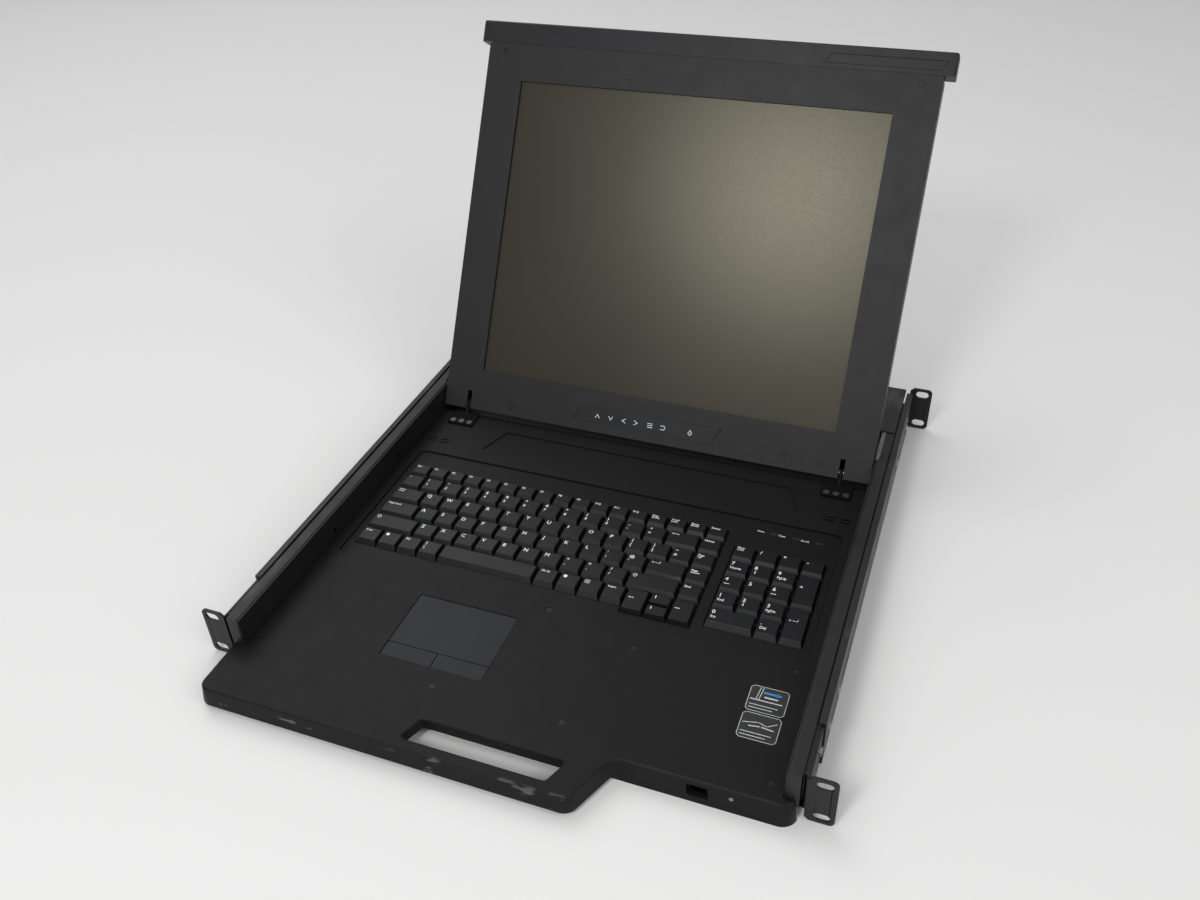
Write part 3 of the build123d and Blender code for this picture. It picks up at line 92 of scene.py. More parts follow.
def depth_position(tree):
    """The Y coordinate, which runs from the front of the drawer to its back."""
    coords = tree.nodes.new("ShaderNodeTexCoord")
    parts = tree.nodes.new("ShaderNodeSeparateXYZ")
    tree.links.new(coords.outputs["Object"], parts.inputs["Vector"])
    return parts.outputs["Y"]


def ramp(tree, value, low, high, low_out=0.0, high_out=1.0):
    """Value mapped from one range to another, clamped."""
    node = tree.nodes.new("ShaderNodeMapRange")
    node.inputs["From Min"].default_value = low
    node.inputs["From Max"].default_value = high
    node.inputs["To Min"].default_value = low_out
    node.inputs["To Max"].default_value = high_out
    tree.links.new(value, node.inputs["Value"])
    return node.outputs["Result"]


def mix_colour(tree, factor, first, second):
    """Colour between two others, which are tuples or sockets."""
    node = tree.nodes.new("ShaderNodeMix")
    node.data_type = "RGBA"
    for key, colour in ((6, first), (7, second)):  # the node's two colour inputs
        if isinstance(colour, tuple):
            node.inputs[key].default_value = (*colour, 1.0)
        else:
            tree.links.new(colour, node.inputs[key])
    tree.links.new(factor, node.inputs[0])
    return node.outputs[2]


def scaled(colour, factor):
    """Colour times a factor, at most white."""
    return tuple(min(1.0, c * factor) for c in colour)


def bumped(tree, shader, height, strength, distance):
    """Turns a height into the shader's normal."""
    bump = tree.nodes.new("ShaderNodeBump")
    bump.inputs["Strength"].default_value = strength
    bump.inputs["Distance"].default_value = distance
    tree.links.new(height, bump.inputs["Height"])
    tree.links.new(bump.outputs["Normal"], shader.inputs["Normal"])


def paint_over(material, make_mask, colour):
    """Mixes a colour over the base colour where a mask says so."""
    tree = material.node_tree
    base = tree.nodes["Principled BSDF"].inputs["Base Color"]
    plain = base.links[0].from_socket
    tree.links.new(mix_colour(tree, make_mask(tree), plain, colour), base)
    return material


def moulded(name, colour, rough, grain=1400.0, depth=0.00002, lift=1.35, specular=0.5, dust=0.0):
    """Matt moulded plastic: fine texture, slow change of shade, a little dust."""
    material, tree, shader = new_material(name)
    base = mix_colour(tree, ramp(tree, noise(tree, 14.0, 3.0), 0.35, 0.65), colour, scaled(colour, lift))
    if dust:
        specks = ramp(tree, noise(tree, 420.0, 4.0), 0.68, 0.78, 0.0, dust)
        base = mix_colour(tree, specks, base, (0.25, 0.25, 0.25))
    tree.links.new(base, shader.inputs["Base Color"])
    uneven = ramp(tree, noise(tree, 60.0, 4.0), 0.3, 0.7, rough - 0.02, rough + 0.03)
    tree.links.new(uneven, shader.inputs["Roughness"])
    shader.inputs["Specular IOR Level"].default_value = specular
    bumped(tree, shader, noise(tree, grain, 2.0), 0.5, depth)
    return material


def coated(name, colour, rough=0.5, peel=900.0, wear=0.0, specular=0.32):
    """Powder coat: orange peel, slow change of shade and a few long scuffs."""
    material, tree, shader = new_material(name)
    base = mix_colour(tree, ramp(tree, noise(tree, 9.0, 4.0), 0.35, 0.7), colour, scaled(colour, 1.5))
    scuffs = ramp(tree, noise(tree, 34.0, 8.0, (1.0, 0.25, 2.0)), 0.66, 0.74, 0.0, 0.22 + wear)
    base = mix_colour(tree, scuffs, base, (0.16, 0.16, 0.16))
    tree.links.new(base, shader.inputs["Base Color"])
    uneven = ramp(tree, noise(tree, 50.0, 5.0), 0.3, 0.7, rough - 0.08, rough + 0.08)
    tree.links.new(uneven, shader.inputs["Roughness"])
    shader.inputs["Specular IOR Level"].default_value = specular
    bumped(tree, shader, noise(tree, peel, 3.0), 0.35, 0.00003)
    return material


def metal(name, colour, rough):
    """Plain steel with fine drawn lines along X."""
    material, tree, shader = new_material(name)
    lines = noise(tree, 60.0, 4.0, (1.0, 40.0, 40.0))
    base = mix_colour(tree, lines, scaled(colour, 0.8), scaled(colour, 1.15))
    tree.links.new(base, shader.inputs["Base Color"])
    shader.inputs["Metallic"].default_value = 1.0
    tree.links.new(ramp(tree, lines, 0.3, 0.7, rough - 0.07, rough + 0.1), shader.inputs["Roughness"])
    bumped(tree, shader, lines, 0.15, 0.00002)
    return material


def screen_glass():
    """Dark matt screen with a faint mottled film and a warm glare."""
    material, tree, shader = new_material("screen_glass")
    base = mix_colour(tree, ramp(tree, noise(tree, 7.0, 2.0), 0.3, 0.7),
                      (0.0085, 0.0078, 0.0054), (0.0125, 0.0115, 0.0078))
    tree.links.new(base, shader.inputs["Base Color"])
    tree.links.new(ramp(tree, noise(tree, 900.0, 2.0), 0.3, 0.7, 0.30, 0.34), shader.inputs["Roughness"])
    shader.inputs["Specular IOR Level"].default_value = 0.42
    shader.inputs["Specular Tint"].default_value = (1.0, 0.94, 0.74, 1.0)
    bumped(tree, shader, noise(tree, 2500.0, 1.0), 0.1, 0.00001)
    return material


def printed(name, colour):
    """Printed ink with a slightly uneven cover."""
    material, tree, shader = new_material(name)
    base = mix_colour(tree, ramp(tree, noise(tree, 2600.0, 3.0), 0.3, 0.7), colour, scaled(colour, 0.82))
    tree.links.new(base, shader.inputs["Base Color"])
    shader.inputs["Roughness"].default_value = 0.5
    return material


def handle_scrapes(tree):
    """Mask of the scraped spots along the front edge of the handle."""
    mask = tree.nodes.new("ShaderNodeMath")
    mask.operation = "MULTIPLY"
    edge = ramp(tree, depth_position(tree), -0.0500, -0.0470, 1.0, 0.0)
    spots = ramp(tree, noise(tree, 110.0, 6.0, (0.5, 1.6, 1.6)), 0.63, 0.69, 0.0, 0.60)
    tree.links.new(edge, mask.inputs[0])
    tree.links.new(spots, mask.inputs[1])
    return mask.outputs["Value"]


def glint_behind_keyboard(tree):
    """Mask of all that lies behind the keyboard's first rows, such as the screws of the hinge feet; there the
    screws get a painted glint.
    """
    return ramp(tree, depth_position(tree), 0.18, 0.22)


DECK = paint_over(
    moulded("deck_plastic", (0.0060, 0.0060, 0.0067), 0.48, 1500.0, 0.00003, lift=1.12, specular=0.15, dust=0.06),
    handle_scrapes, (0.17, 0.16, 0.14))
FRAME = moulded("frame_plastic", (0.0058, 0.0058, 0.0064), 0.44, 1500.0, lift=1.1, specular=0.14)
KEY = moulded("key_plastic", (0.0048, 0.0050, 0.0060), 0.36, 2200.0, 0.00001, lift=1.1, specular=0.24)
BEZEL = moulded("bezel_plastic", (0.0098, 0.0098, 0.0108), 0.48, 1300.0, 0.00003, lift=1.08, specular=0.26)
BAR = moulded("bar_plastic", (0.0105, 0.0105, 0.0120), 0.42, 1300.0, 0.00003, lift=1.08, specular=0.22)
PAD = moulded("touchpad_plastic", (0.0120, 0.0130, 0.0170), 0.40, 2500.0, 0.000008, lift=1.06, specular=0.16)
STRIP = moulded("strip_plastic", (0.0080, 0.0088, 0.0115), 0.30, 2500.0, 0.000008, lift=1.1, specular=0.30)
SOCKET = moulded("socket_plastic", (0.008, 0.008, 0.008), 0.5)
# Grey on the corner blocks is a painted highlight on their rounded front ends; the blocks themselves are black.
BLOCK_PAINTED_HIGHLIGHT = moulded("block_rubber", (0.12, 0.125, 0.13), 0.6, 1200.0, 0.00003, lift=1.15)
RUBBER = moulded("dome_rubber", (0.34, 0.34, 0.33), 0.7)
FILM = moulded("membrane_film", (0.45, 0.47, 0.48), 0.3)
BOARD = moulded("circuit_board", (0.012, 0.06, 0.03), 0.4)
LIGHT = moulded("light_plastic", (0.16, 0.17, 0.15), 0.25, 900.0, 0.00001)
BLACK = coated("black_coat", (0.0085, 0.0085, 0.0095), 0.45)
RAIL = coated("rail_coat", (0.011, 0.011, 0.0115), 0.42, peel=700.0, wear=0.05)
HINGE = coated("hinge_coat", (0.0038, 0.0038, 0.0043), 0.60, specular=0.06)
SHELL = coated("shell_coat", (0.011, 0.0112, 0.0125), 0.46)
ZINC = metal("zinc_steel", (0.52, 0.53, 0.54), 0.34)
DARK = metal("dark_steel", (0.021, 0.021, 0.023), 0.42)
# Screws behind the keyboard, those of the hinge feet, are painted lighter: a painted glint on the dark steel.
SCREW = paint_over(metal("screw_steel", (0.024, 0.024, 0.026), 0.42), glint_behind_keyboard, (0.13, 0.13, 0.135))
TIN = metal("plain_sheet", (0.6, 0.6, 0.62), 0.4)
BALL = metal("ball_steel", (0.6, 0.6, 0.6), 0.2)
GLASS = screen_glass()
INK = printed("white_ink", (0.86, 0.87, 0.87))
PALE_INK = printed("pale_ink", (0.55, 0.56, 0.57))
BLUE_INK = printed("blue_ink", (0.02, 0.24, 0.62))

KEY_NODES = ("keys_bottom_row", "keys_z_row", "keys_a_row", "keys_q_row", "keys_number_row", "keys_function_row",
             "space_bar", "keys_number_pad")
MATERIAL_NODES = (
    (RAIL, ("rack_rails",)),
    (BLACK, ("slide_outer_members", "slide_middle_members", "slide_inner_members", "front_bracket_right",
             "front_bracket_left", "rear_brackets", "base_pan", "tray_walls", "side_cover_left",
             "side_cover_right", "rear_cover", "rear_panel")),
    (ZINC, ("bracket_screws", "tray_standoffs", "signal_connector", "panel_brackets", "hinge_pins")),
    (BALL, ("outer_ball_cages", "inner_ball_cages")),
    (BLOCK_PAINTED_HIGHLIGHT, ("corner_blocks",)),
    (SOCKET, ("power_inlet", "key_guide_plate", "touchpad_spacer", "lock_lights")),
    (BOARD, ("controller_board", "touchpad_board", "front_board", "display_board", "control_board")),
    (DECK, ("palm_deck",)),
    (FRAME, ("keyboard_frame",)),
    (TIN, ("key_base_plate", "display_backlight")),
    (FILM, ("keyboard_membrane",)),
    (RUBBER, ("rubber_domes",)),
    (PAD, ("touchpad_surface", "touchpad_button_left", "touchpad_button_right")),
    (DARK, ("front_port", "wall_screws", "bezel_screws")),
    (LIGHT, ("status_light",)),
    (HINGE, ("hinge_leaves", "hinge_cheeks")),
    (SCREW, ("deck_screws",)),
    (BEZEL, ("display_bezel",)),
    (SHELL, ("display_shell",)),
    (GLASS, ("display_panel",)),
    (STRIP, ("control_strip",)),
    (BAR, ("top_bar", "bar_insert")),
    (KEY, KEY_NODES),
)
# Radius of the softened edges, in millimetres
EDGE_NODES = (
    (0.6, ("display_shell",)),
    (0.5, ("palm_deck", "display_bezel", "top_bar", "corner_blocks")),
    (0.35, KEY_NODES),
    (0.3, ("keyboard_frame", "side_cover_left", "side_cover_right", "rack_rails", "front_bracket_right",
           "front_bracket_left", "rear_brackets", "rear_cover", "hinge_leaves")),
    (0.25, ("tray_walls", "bar_insert", "control_strip")),
    (0.2, ("touchpad_surface",)),
)
WELD_DISTANCE = 0.000002
SHARP_EDGE = math.radians(30)

for material, names in MATERIAL_NODES:
    for node_name in names:
        mesh = nodes[node_name].data
        for index in range(len(mesh.materials)):
            mesh.materials[index] = material
for radius, names in EDGE_NODES:
    for node_name in names:
        weld = nodes[node_name].modifiers.new("weld", "WELD")
        weld.merge_threshold = WELD_DISTANCE
        bevel = nodes[node_name].modifiers.new("bevel", "BEVEL")
        bevel.width = radius * MM
        bevel.segments = 2
        bevel.limit_method = "ANGLE"
        bevel.angle_limit = SHARP_EDGE
        bevel.harden_normals = True


# ------------------------------------------------- printed marks and small trim
class Print:
    """Collects flat printed shapes in millimetres and turns them into one object."""

    def __init__(self, name, body, slot_name, material, plane=None):
        self.name, self.body, self.slot_name, self.material = name, body, slot_name, material
        self.plane = plane or Matrix.Identity(4)
        self.texts = []
        self.mesh = bmesh.new()

    def word(self, string, x, y, size, z, stroke):
        """Text whose upper left corner is at x, y, with its strokes thickened."""
        curve = bpy.data.curves.new("text", "FONT")
        curve.body = string
        curve.size = size
        curve.align_x = "LEFT"
        curve.align_y = "TOP"
        curve.offset = stroke
        curve.resolution_u = 3
        curve.space_line = 0.8
        thing = bpy.data.objects.new("text", curve)
        bpy.context.scene.collection.objects.link(thing)
        self.texts.append((thing, x, y, z))

    def face(self, points, z):
        """Flat polygon."""
        self.mesh.faces.new([self.mesh.verts.new((x, y, z)) for x, y in points])

    def line(self, points, width, z, close=False):
        """Line of constant width as one flat strip per stretch."""
        ends = list(zip(points, points[1:] + points[:1] if close else points[1:]))
        for (ax, ay), (bx, by) in ends:
            length = math.hypot(bx - ax, by - ay)
            ux, uy = (bx - ax) / length * width / 2, (by - ay) / length * width / 2
            self.face([(ax - ux - uy, ay - uy + ux), (ax - ux + uy, ay - uy - ux),
                       (bx + ux + uy, by + uy - ux), (bx + ux - uy, by + uy + ux)], z)

    def arrow(self, x, y, dx, dy, length, z):
        """Thin arrow from a point along one direction."""
        width, head, flare = 0.5, 1.3, 1.3
        side, back = head * 0.6, head * flare
        end_x, end_y = x + dx * length, y + dy * length
        self.line([(x, y), (end_x - dx * head, end_y - dy * head)], width, z)
        self.face([(end_x, end_y), (end_x - dx * back - dy * side, end_y - dy * back + dx * side),
                   (end_x - dx * back + dy * side, end_y - dy * back - dx * side)], z)

    def cross(self, x, y, reach, width, z):
        """Cross recess of a screw as flat strips, which in a dark colour are painted shade."""
        for dx, dy in ((reach, reach), (reach, -reach)):
            self.line([(x - dx, y - dy), (x + dx, y + dy)], width, z)

    def finish(self):
        """Makes the object that rides on its body."""
        graph = bpy.context.evaluated_depsgraph_get()
        for thing, x, y, z in self.texts:
            flat = bpy.data.meshes.new_from_object(thing.evaluated_get(graph))
            flat.transform(Matrix.Translation((x, y, z)))
            self.mesh.from_mesh(flat)
            bpy.data.meshes.remove(flat)
        for thing, _, _, _ in self.texts:
            bpy.data.objects.remove(thing)
        data = bpy.data.meshes.new(self.name)
        bmesh.ops.recalc_face_normals(self.mesh, faces=self.mesh.faces)
        self.mesh.to_mesh(data)
        self.mesh.free()
        data.transform(self.plane @ Matrix.Diagonal((MM, MM, MM, 1.0)))
        data.materials.append(self.material)
        thing = bpy.data.objects.new(self.name, data)
        bpy.context.scene.collection.objects.link(thing)
        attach(thing, self.body)


# Heights of the printed faces and the places of the keys, in millimetres
PRINT_LIFT = 0.03
KEY_PRINT = -HALF_UNIT + 21.6 + PRINT_LIFT
DECK_TOP = -HALF_UNIT + 19.2
FRAME_PRINT = -HALF_UNIT + 17.8 + PRINT_LIFT
KEY_UNIT = 19.05
MAIN_LEFT = -189.0
MAIN_FRONT = 128.4
MAIN_UNITS = 15.5
FUNCTION_DEPTH = 16.4
ARROW_FRONT = 122.8
ARROW_FIRST_UNIT = 12.5
PAD_LEFT = 115.3

# From a key's cell to its marks: half the gap between caps, the cap's taper, and the margin on its top
MARK_FROM_LEFT = 0.45 + 1.4 + 1.7
MARK_FROM_BACK = 0.45 + 0.9 + 1.5
LETTER, LETTER_STROKE = 5.3, 0.05
PAIR_LETTER = 4.3
WORD, SMALL_WORD, WORD_STROKE = 3.3, 2.9, 0.03
LONG_WORD = 6

# Marks of single keys as shapes, measured from the upper left corner of the key's marks
ARROW_MARKS = {
    "LEFT": [(4.2, -1.4, -1, 0, 4.2)],
    "RIGHT": [(0.0, -1.4, 1, 0, 4.2)],
    "UP": [(1.5, -2.6, 0, 1, 3.4)],
    "DOWN": [(1.5, 0.6, 0, -1, 3.4)],
    "BACK": [(6.5, -1.4, -1, 0, 6.5)],
    "ENTER": [(3.0, -2.0, -1, 0, 3.0)],
    "TAB": [(5.5, -0.4, -1, 0, 5.5), (0.0, -2.6, 1, 0, 5.5)],
}
LINE_MARKS = {
    "ENTER": [([(7.0, 0.0), (7.0, -2.0), (2.0, -2.0)], 0.35, False)],
    "SHIFT": [([(1.0, -3.4), (1.0, -1.8), (0.0, -1.8), (1.9, 0.2), (3.8, -1.8), (2.8, -1.8), (2.8, -3.4)],
               0.5, True)],
    "MENU": [([(0.0, 0.0), (3.6, 0.0), (3.6, -3.6), (0.0, -3.6)], 0.3, True),
             ([(0.8, -1.0), (2.9, -1.0)], 0.28, False),
             ([(0.8, -1.9), (2.9, -1.9)], 0.28, False),
             ([(0.8, -2.8), (2.9, -2.8)], 0.28, False)],
}
DOT_RADIUS = 1.6
DOT_TURNS = [math.radians(a) for a in range(0, 360, 30)]
FACE_MARKS = {
    "DOT": [[(1.9 + DOT_RADIUS * math.cos(a), -DOT_RADIUS + DOT_RADIUS * math.sin(a)) for a in DOT_TURNS]],
}


def cell_marks(sheet, left, back, label):
    """Marks of one key whose cell has its left edge and back edge there."""
    x = left + MARK_FROM_LEFT
    y = back - MARK_FROM_BACK
    for points in FACE_MARKS.get(label, ()):
        sheet.face([(x + px, y + py) for px, py in points], KEY_PRINT)
    for points, width, close in LINE_MARKS.get(label, ()):
        sheet.line([(x + px, y + py) for px, py in points], width, KEY_PRINT, close)
    for px, py, dx, dy, length in ARROW_MARKS.get(label, ()):
        sheet.arrow(x + px, y + py, dx, dy, length, KEY_PRINT)
    if label in FACE_MARKS or label in LINE_MARKS or label in ARROW_MARKS:
        return
    if len(label) == 1:
        sheet.word(label, x, y + 0.4, LETTER, KEY_PRINT, LETTER_STROKE)
    elif len(label) == 3 and label[1] == "\n":
        sheet.word(label[0], x, y + 0.9, PAIR_LETTER, KEY_PRINT, LETTER_STROKE)
        sheet.word(label[2], x, y - 4.6, PAIR_LETTER, KEY_PRINT, LETTER_STROKE)
    else:
        size = WORD if len(label) < LONG_WORD else SMALL_WORD
        sheet.word(label, x, y + 0.2, size, KEY_PRINT, WORD_STROKE)


# Legends of the rows from front to back. A key that isn't one unit wide gives its width, and None is bare
ROWS = (
    ("keys_bottom_row", ("Ctrl", "DOT", "Alt", "|\n\\", (None, 4.5), "Alt Gr", "DOT", "MENU", "Insert")),
    ("keys_z_row", (("SHIFT", 2.25), "Z", "X", "C", "V", "B", "N", "M", "<\n,", ">\n.", "?\n/",
                    ("SHIFT", 2.25), "End")),
    ("keys_a_row", (("Caps Lock", 1.75), "A", "S", "D", "F", "G", "H", "J", "K", "L", ":\n;", "@\n'",
                    ("ENTER", 1.75), "Page\nDown")),
    ("keys_q_row", (("TAB", 1.5), "Q", "W", "E", "R", "T", "Y", "U", "I", "O", "P", "{\n[", "}\n]", "~\n#",
                    "Page\nUp")),
    ("keys_number_row", ("`", "!\n1", "\"\n2", "£\n3", "$\n4", "%\n5", "^\n6", "&\n7", "*\n8", "(\n9",
                         ")\n0", "_\n-", "+\n=", ("BACK", 1.5), "Home")),
)
for level, (row_name, cells) in enumerate(ROWS):
    sheet = Print(row_name + "_marks", row_name + "_body", "key_plastic", INK)
    left = MAIN_LEFT
    for cell in cells:
        label, width = cell if isinstance(cell, tuple) else (cell, 1)
        if label:
            cell_marks(sheet, left, MAIN_FRONT + (level + 1) * KEY_UNIT, label)
        left += width * KEY_UNIT
    if row_name == "keys_bottom_row":
        back = MAIN_FRONT + KEY_UNIT
        middle = (ARROW_FRONT + back) / 2
        arrow_left = MAIN_LEFT + ARROW_FIRST_UNIT * KEY_UNIT
        cell_marks(sheet, arrow_left, (middle + back) / 2, "LEFT")
        cell_marks(sheet, arrow_left + KEY_UNIT, back, "UP")
        cell_marks(sheet, arrow_left + KEY_UNIT, middle, "DOWN")
        cell_marks(sheet, arrow_left + 2 * KEY_UNIT, (middle + back) / 2, "RIGHT")
    sheet.finish()

# Function row
FUNCTION_LABELS = (["Esc"] + ["F%d" % number for number in range(1, 13)]
                   + ["Print\nSysRq", "Scroll\nLock", "Pause\nBreak", "Delete"])
FUNCTION_UNIT = MAIN_UNITS * KEY_UNIT / len(FUNCTION_LABELS)
FUNCTION_FROM_LEFT, FUNCTION_FROM_BACK = 3.0, 2.4
FUNCTION_SHORT, FUNCTION_LONG = 3.4, 2.8
sheet = Print("keys_function_row_marks", "keys_function_row_body", "key_plastic", INK)
for index, label in enumerate(FUNCTION_LABELS):
    at_x = MAIN_LEFT + index * FUNCTION_UNIT + FUNCTION_FROM_LEFT
    at_y = MAIN_FRONT + 5 * KEY_UNIT + FUNCTION_DEPTH - FUNCTION_FROM_BACK
    size = FUNCTION_SHORT if len(label) < 4 else FUNCTION_LONG
    sheet.word(label, at_x, at_y, size, KEY_PRINT, WORD_STROKE)
sheet.finish()

# Number pad: the first mark, the second one and the width of each key
PAD_LEVELS = (
    (("0", "Ins", 2), (".", "Del", 1)),
    (("1", "End", 1), ("2", "DOWN", 1), ("3", "PgDn", 1)),
    (("4", "LEFT", 1), ("5", "", 1), ("6", "RIGHT", 1)),
    (("7", "Home", 1), ("8", "UP", 1), ("9", "PgUp", 1)),
    (("Num\nLock", "", 1), ("/", "", 1), ("*", "", 1), ("-", "", 1)),
)
SECOND_ARROW_DROP = 6.0
SECOND_WORD_FROM_LEFT, SECOND_WORD_DROP, SECOND_WORD = 3.6, 8.3, 3.6
TALL_KEY_DROP = 10.0
sheet = Print("keys_number_pad_marks", "keys_number_pad_body", "key_plastic", INK)
for level, cells in enumerate(PAD_LEVELS):
    left = PAD_LEFT
    back = MAIN_FRONT + (level + 1) * KEY_UNIT
    for label, second, width in cells:
        cell_marks(sheet, left, back, label)
        if second in ARROW_MARKS:
            cell_marks(sheet, left, back - SECOND_ARROW_DROP, second)
        elif second:
            sheet.word(second, left + SECOND_WORD_FROM_LEFT, back - SECOND_WORD_DROP, SECOND_WORD, KEY_PRINT,
                       WORD_STROKE)
        left += width * KEY_UNIT
for level, label in ((4, "+"), (2, "ENTER")):
    cell_marks(sheet, PAD_LEFT + 3 * KEY_UNIT, MAIN_FRONT + level * KEY_UNIT - TALL_KEY_DROP, label)
sheet.finish()

# Words beside the lock lights
LOCK_WORDS = (("Num", 128.0, 250.3), ("Caps", 146.0, 249.8), ("Scroll", 165.0, 249.3))
LOCK_WORD, LOCK_STROKE = 2.9, 0.08
sheet = Print("lock_light_words", "drawer", "frame_plastic", PALE_INK)
for string, at_x, at_y in LOCK_WORDS:
    sheet.word(string, at_x, at_y, LOCK_WORD, FRAME_PRINT, LOCK_STROKE)
sheet.finish()

# Two plain stickers with frames, bars and one arrow
STICKER_LEFT, STICKER_RIGHT, STICKER_CORNER = 165.0, 193.4, 2
STICKER_HEIGHTS = ((60.0, 84.2), (35.6, 59.2))
STICKER_GROUND = DECK_TOP + 0.05
STICKER_PRINT = STICKER_GROUND + 0.02
FRAME_SHARE_X, FRAME_SHARE_Y, FRAME_LINE = 0.96, 0.95, 0.42
STICKER_BARS = (
    ([(171.0, 71.5), (172.4, 82.6)], 0.5),
    ([(173.0, 71.5), (174.4, 82.6)], 0.5),
    ([(167.4, 71.0), (189.5, 71.0)], 0.9),
    ([(177.0, 74.6), (185.5, 74.6)], 1.3),
    ([(167.6, 66.4), (187.5, 66.4)], 0.6),
    ([(167.6, 63.6), (184.0, 63.6)], 0.6),
    ([(167.4, 49.2), (178.0, 51.6), (184.0, 49.6), (190.4, 53.6)], 0.6),
    ([(172.0, 47.2), (180.0, 48.2), (189.0, 47.2)], 0.9),
    ([(167.6, 41.8), (188.5, 41.8)], 0.6),
    ([(167.6, 39.0), (185.0, 39.0)], 0.6),
)
ground = Print("sticker_grounds", "drawer", "deck_plastic", SOCKET)
frames = Print("sticker_frames", "drawer", "deck_plastic", PALE_INK)
arrows = Print("sticker_arrow", "drawer", "deck_plastic", BLUE_INK)
for low, high in STICKER_HEIGHTS:
    inner_left, inner_right = STICKER_LEFT + STICKER_CORNER, STICKER_RIGHT - STICKER_CORNER
    inner_low, inner_high = low + STICKER_CORNER, high - STICKER_CORNER
    corners = [(STICKER_LEFT, inner_low), (inner_left, low), (inner_right, low), (STICKER_RIGHT, inner_low),
               (STICKER_RIGHT, inner_high), (inner_right, high), (inner_left, high), (STICKER_LEFT, inner_high)]
    ground.face(corners, STICKER_GROUND)
    mid_x, mid_y = (STICKER_LEFT + STICKER_RIGHT) / 2, (low + high) / 2
    outline = [(mid_x + (x - mid_x) * FRAME_SHARE_X, mid_y + (y - mid_y) * FRAME_SHARE_Y) for x, y in corners]
    frames.line(outline, FRAME_LINE, STICKER_PRINT, close=True)
for points, width in STICKER_BARS:
    frames.line(points, width, STICKER_PRINT)
arrows.line([(176.0, 78.6), (184.5, 78.6)], 1.7, STICKER_PRINT)
arrows.face([(184.5, 80.4), (188.6, 78.6), (184.5, 76.8)], STICKER_PRINT)
for sheet in (ground, frames, arrows):
    sheet.finish()

# Cross recesses of the deck's screws as flat dark crosses, painted shade in place of the hollows; the heads lie
# 0.2 mm below the deck's top
HEAD_SUNK = 0.2
DECK_SCREWS = ((-199.3, 6.0), (-51.8, 7.6), (49.3, 7.6), (197.4, 6.0), (-1.3, 106.0), (73.8, 89.4),
               (192.0, 105.0), (-199.0, 105.0))
sheet = Print("deck_screw_cross_shade", "drawer", "screw_steel", SOCKET)
for at_x, at_y in DECK_SCREWS:
    sheet.cross(at_x, at_y, 1.1, 0.55, DECK_TOP - HEAD_SUNK + PRINT_LIFT)
sheet.finish()

# Display plane: X to the right, Y up along the screen from the hinge's axis, Z out of the face
LEAN = math.radians(30.0)
AXIS_Y = 0.3495
AXIS_Z = (59.0 - HALF_UNIT) * MM
display_plane = Matrix(((1, 0, 0, 0), (0, math.sin(LEAN), -math.cos(LEAN), AXIS_Y),
                        (0, math.cos(LEAN), math.sin(LEAN), AXIS_Z), (0, 0, 0, 1)))

# Icons of the control strip: place across, outline, and whether it closes
ICON_Y = -23.5
ICON_LINE = 0.5
ICONS = (
    (-48.4, [(-1.9, -1.6), (0, 1.6), (1.9, -1.6)], False),
    (-35.4, [(-1.9, 1.6), (0, -1.6), (1.9, 1.6)], False),
    (-22.4, [(1.8, 1.9), (-1.6, 0), (1.8, -1.9)], False),
    (-10.4, [(-1.8, 1.9), (1.6, 0), (-1.8, -1.9)], False),
    (1.0, [(0, -1.8), (4.4, -1.8)], False),
    (1.0, [(0, 0), (4.4, 0)], False),
    (1.0, [(0, 1.8), (4.4, 1.8)], False),
    (13.6, [(0, 1.7), (3.4, 1.7), (4.4, 0), (3.4, -1.7), (0, -1.7)], False),
    (41.7, [(0, 2.4), (-1.8, -0.6), (0, -2.2), (1.8, -0.6)], True),
)
STRIP_SUNK = 0.3
sheet = Print("control_icons", "display", "touchpad_plastic", INK, display_plane)
for at_x, points, close in ICONS:
    sheet.line([(at_x + x, ICON_Y + y) for x, y in points], ICON_LINE, PRINT_LIFT - STRIP_SUNK, close)
sheet.finish()

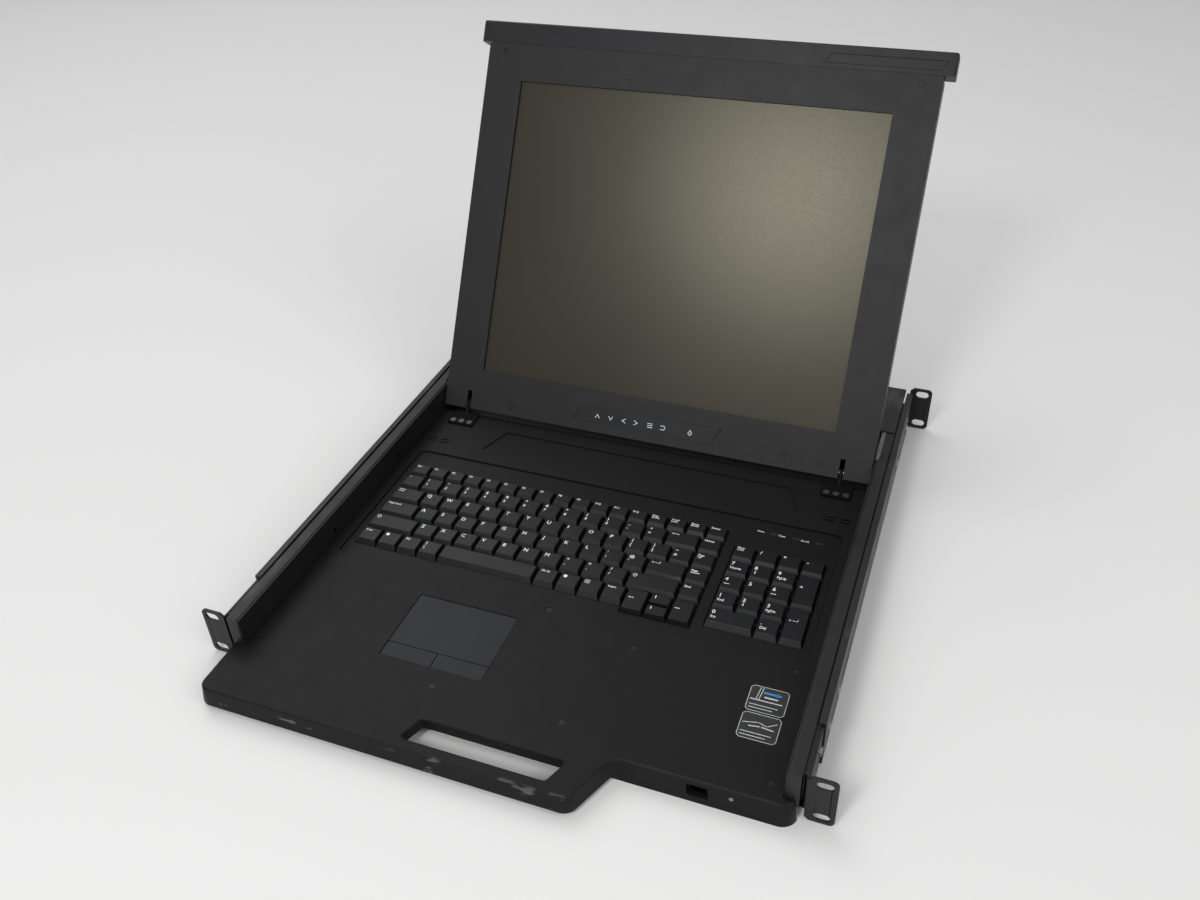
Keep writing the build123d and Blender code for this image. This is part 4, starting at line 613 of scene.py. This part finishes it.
BEZEL_SCREWS = ((-189.5, 298.0), (0.0, 298.0), (189.5, 298.0), (129.0, -28.0), (162.0, -29.0), (-135.0, -30.5))
# Cross recesses of the bezel's screws as flat dark crosses: painted shade in place of the hollows
sheet = Print("bezel_screw_cross_shade", "display", "screw_steel", SOCKET, display_plane)
for at_x, at_y in BEZEL_SCREWS:
    sheet.cross(at_x, at_y, 1.0, 0.5, PRINT_LIFT - HEAD_SUNK)
sheet.finish()

# ------------------------------------------------------------------- stage
FLOOR_Z = -HALF_UNIT * MM
FLOOR_REACH = 8.0
floor_mesh = bpy.data.meshes.new("floor")
floor_mesh.from_pydata([(-FLOOR_REACH, -FLOOR_REACH, FLOOR_Z), (FLOOR_REACH, -FLOOR_REACH, FLOOR_Z),
                        (FLOOR_REACH, FLOOR_REACH, FLOOR_Z), (-FLOOR_REACH, FLOOR_REACH, FLOOR_Z)],
                       [], [(0, 1, 2, 3)])
floor = bpy.data.objects.new("floor", floor_mesh)
bpy.context.scene.collection.objects.link(floor)
floor_material, tree, shader = new_material("floor")
floor_shade = mix_colour(tree, noise(tree, 1.2, 2.0), (0.690, 0.690, 0.680), (0.715, 0.715, 0.705))
tree.links.new(floor_shade, shader.inputs["Base Color"])
shader.inputs["Roughness"].default_value = 0.55
shader.inputs["Specular IOR Level"].default_value = 0.25
floor_mesh.materials.append(floor_material)

world = bpy.data.worlds.new("studio")
bpy.context.scene.world = world
world.use_nodes = True
background = world.node_tree.nodes["Background"]
background.inputs["Color"].default_value = (0.92, 0.93, 0.94, 1.0)
background.inputs["Strength"].default_value = 0.55


def area_light(name, place, target, size, power):
    """Soft lamp that points at a target."""
    data = bpy.data.lights.new(name, "AREA")
    data.shape = "RECTANGLE"
    data.size, data.size_y = size
    data.energy = power
    lamp = bpy.data.objects.new(name, data)
    lamp.location = place
    lamp.rotation_euler = (Vector(target) - Vector(place)).to_track_quat("-Z", "Y").to_euler()
    bpy.context.scene.collection.objects.link(lamp)


area_light("key", (-0.28, -1.40, 1.56), (0, 0.3, 0.15), (0.42, 0.42), 18.0)
area_light("top", (-1.3, 1.2, 2.3), (0, 0.2, 0), (1.8, 1.8), 24.0)
area_light("side", (1.9, -0.6, 1.6), (0, 0.2, 0), (1.4, 1.4), 17.0)
area_light("front", (0.75, -2.2, 0.70), (0, 0.2, 0), (1.4, 0.7), 4.0)
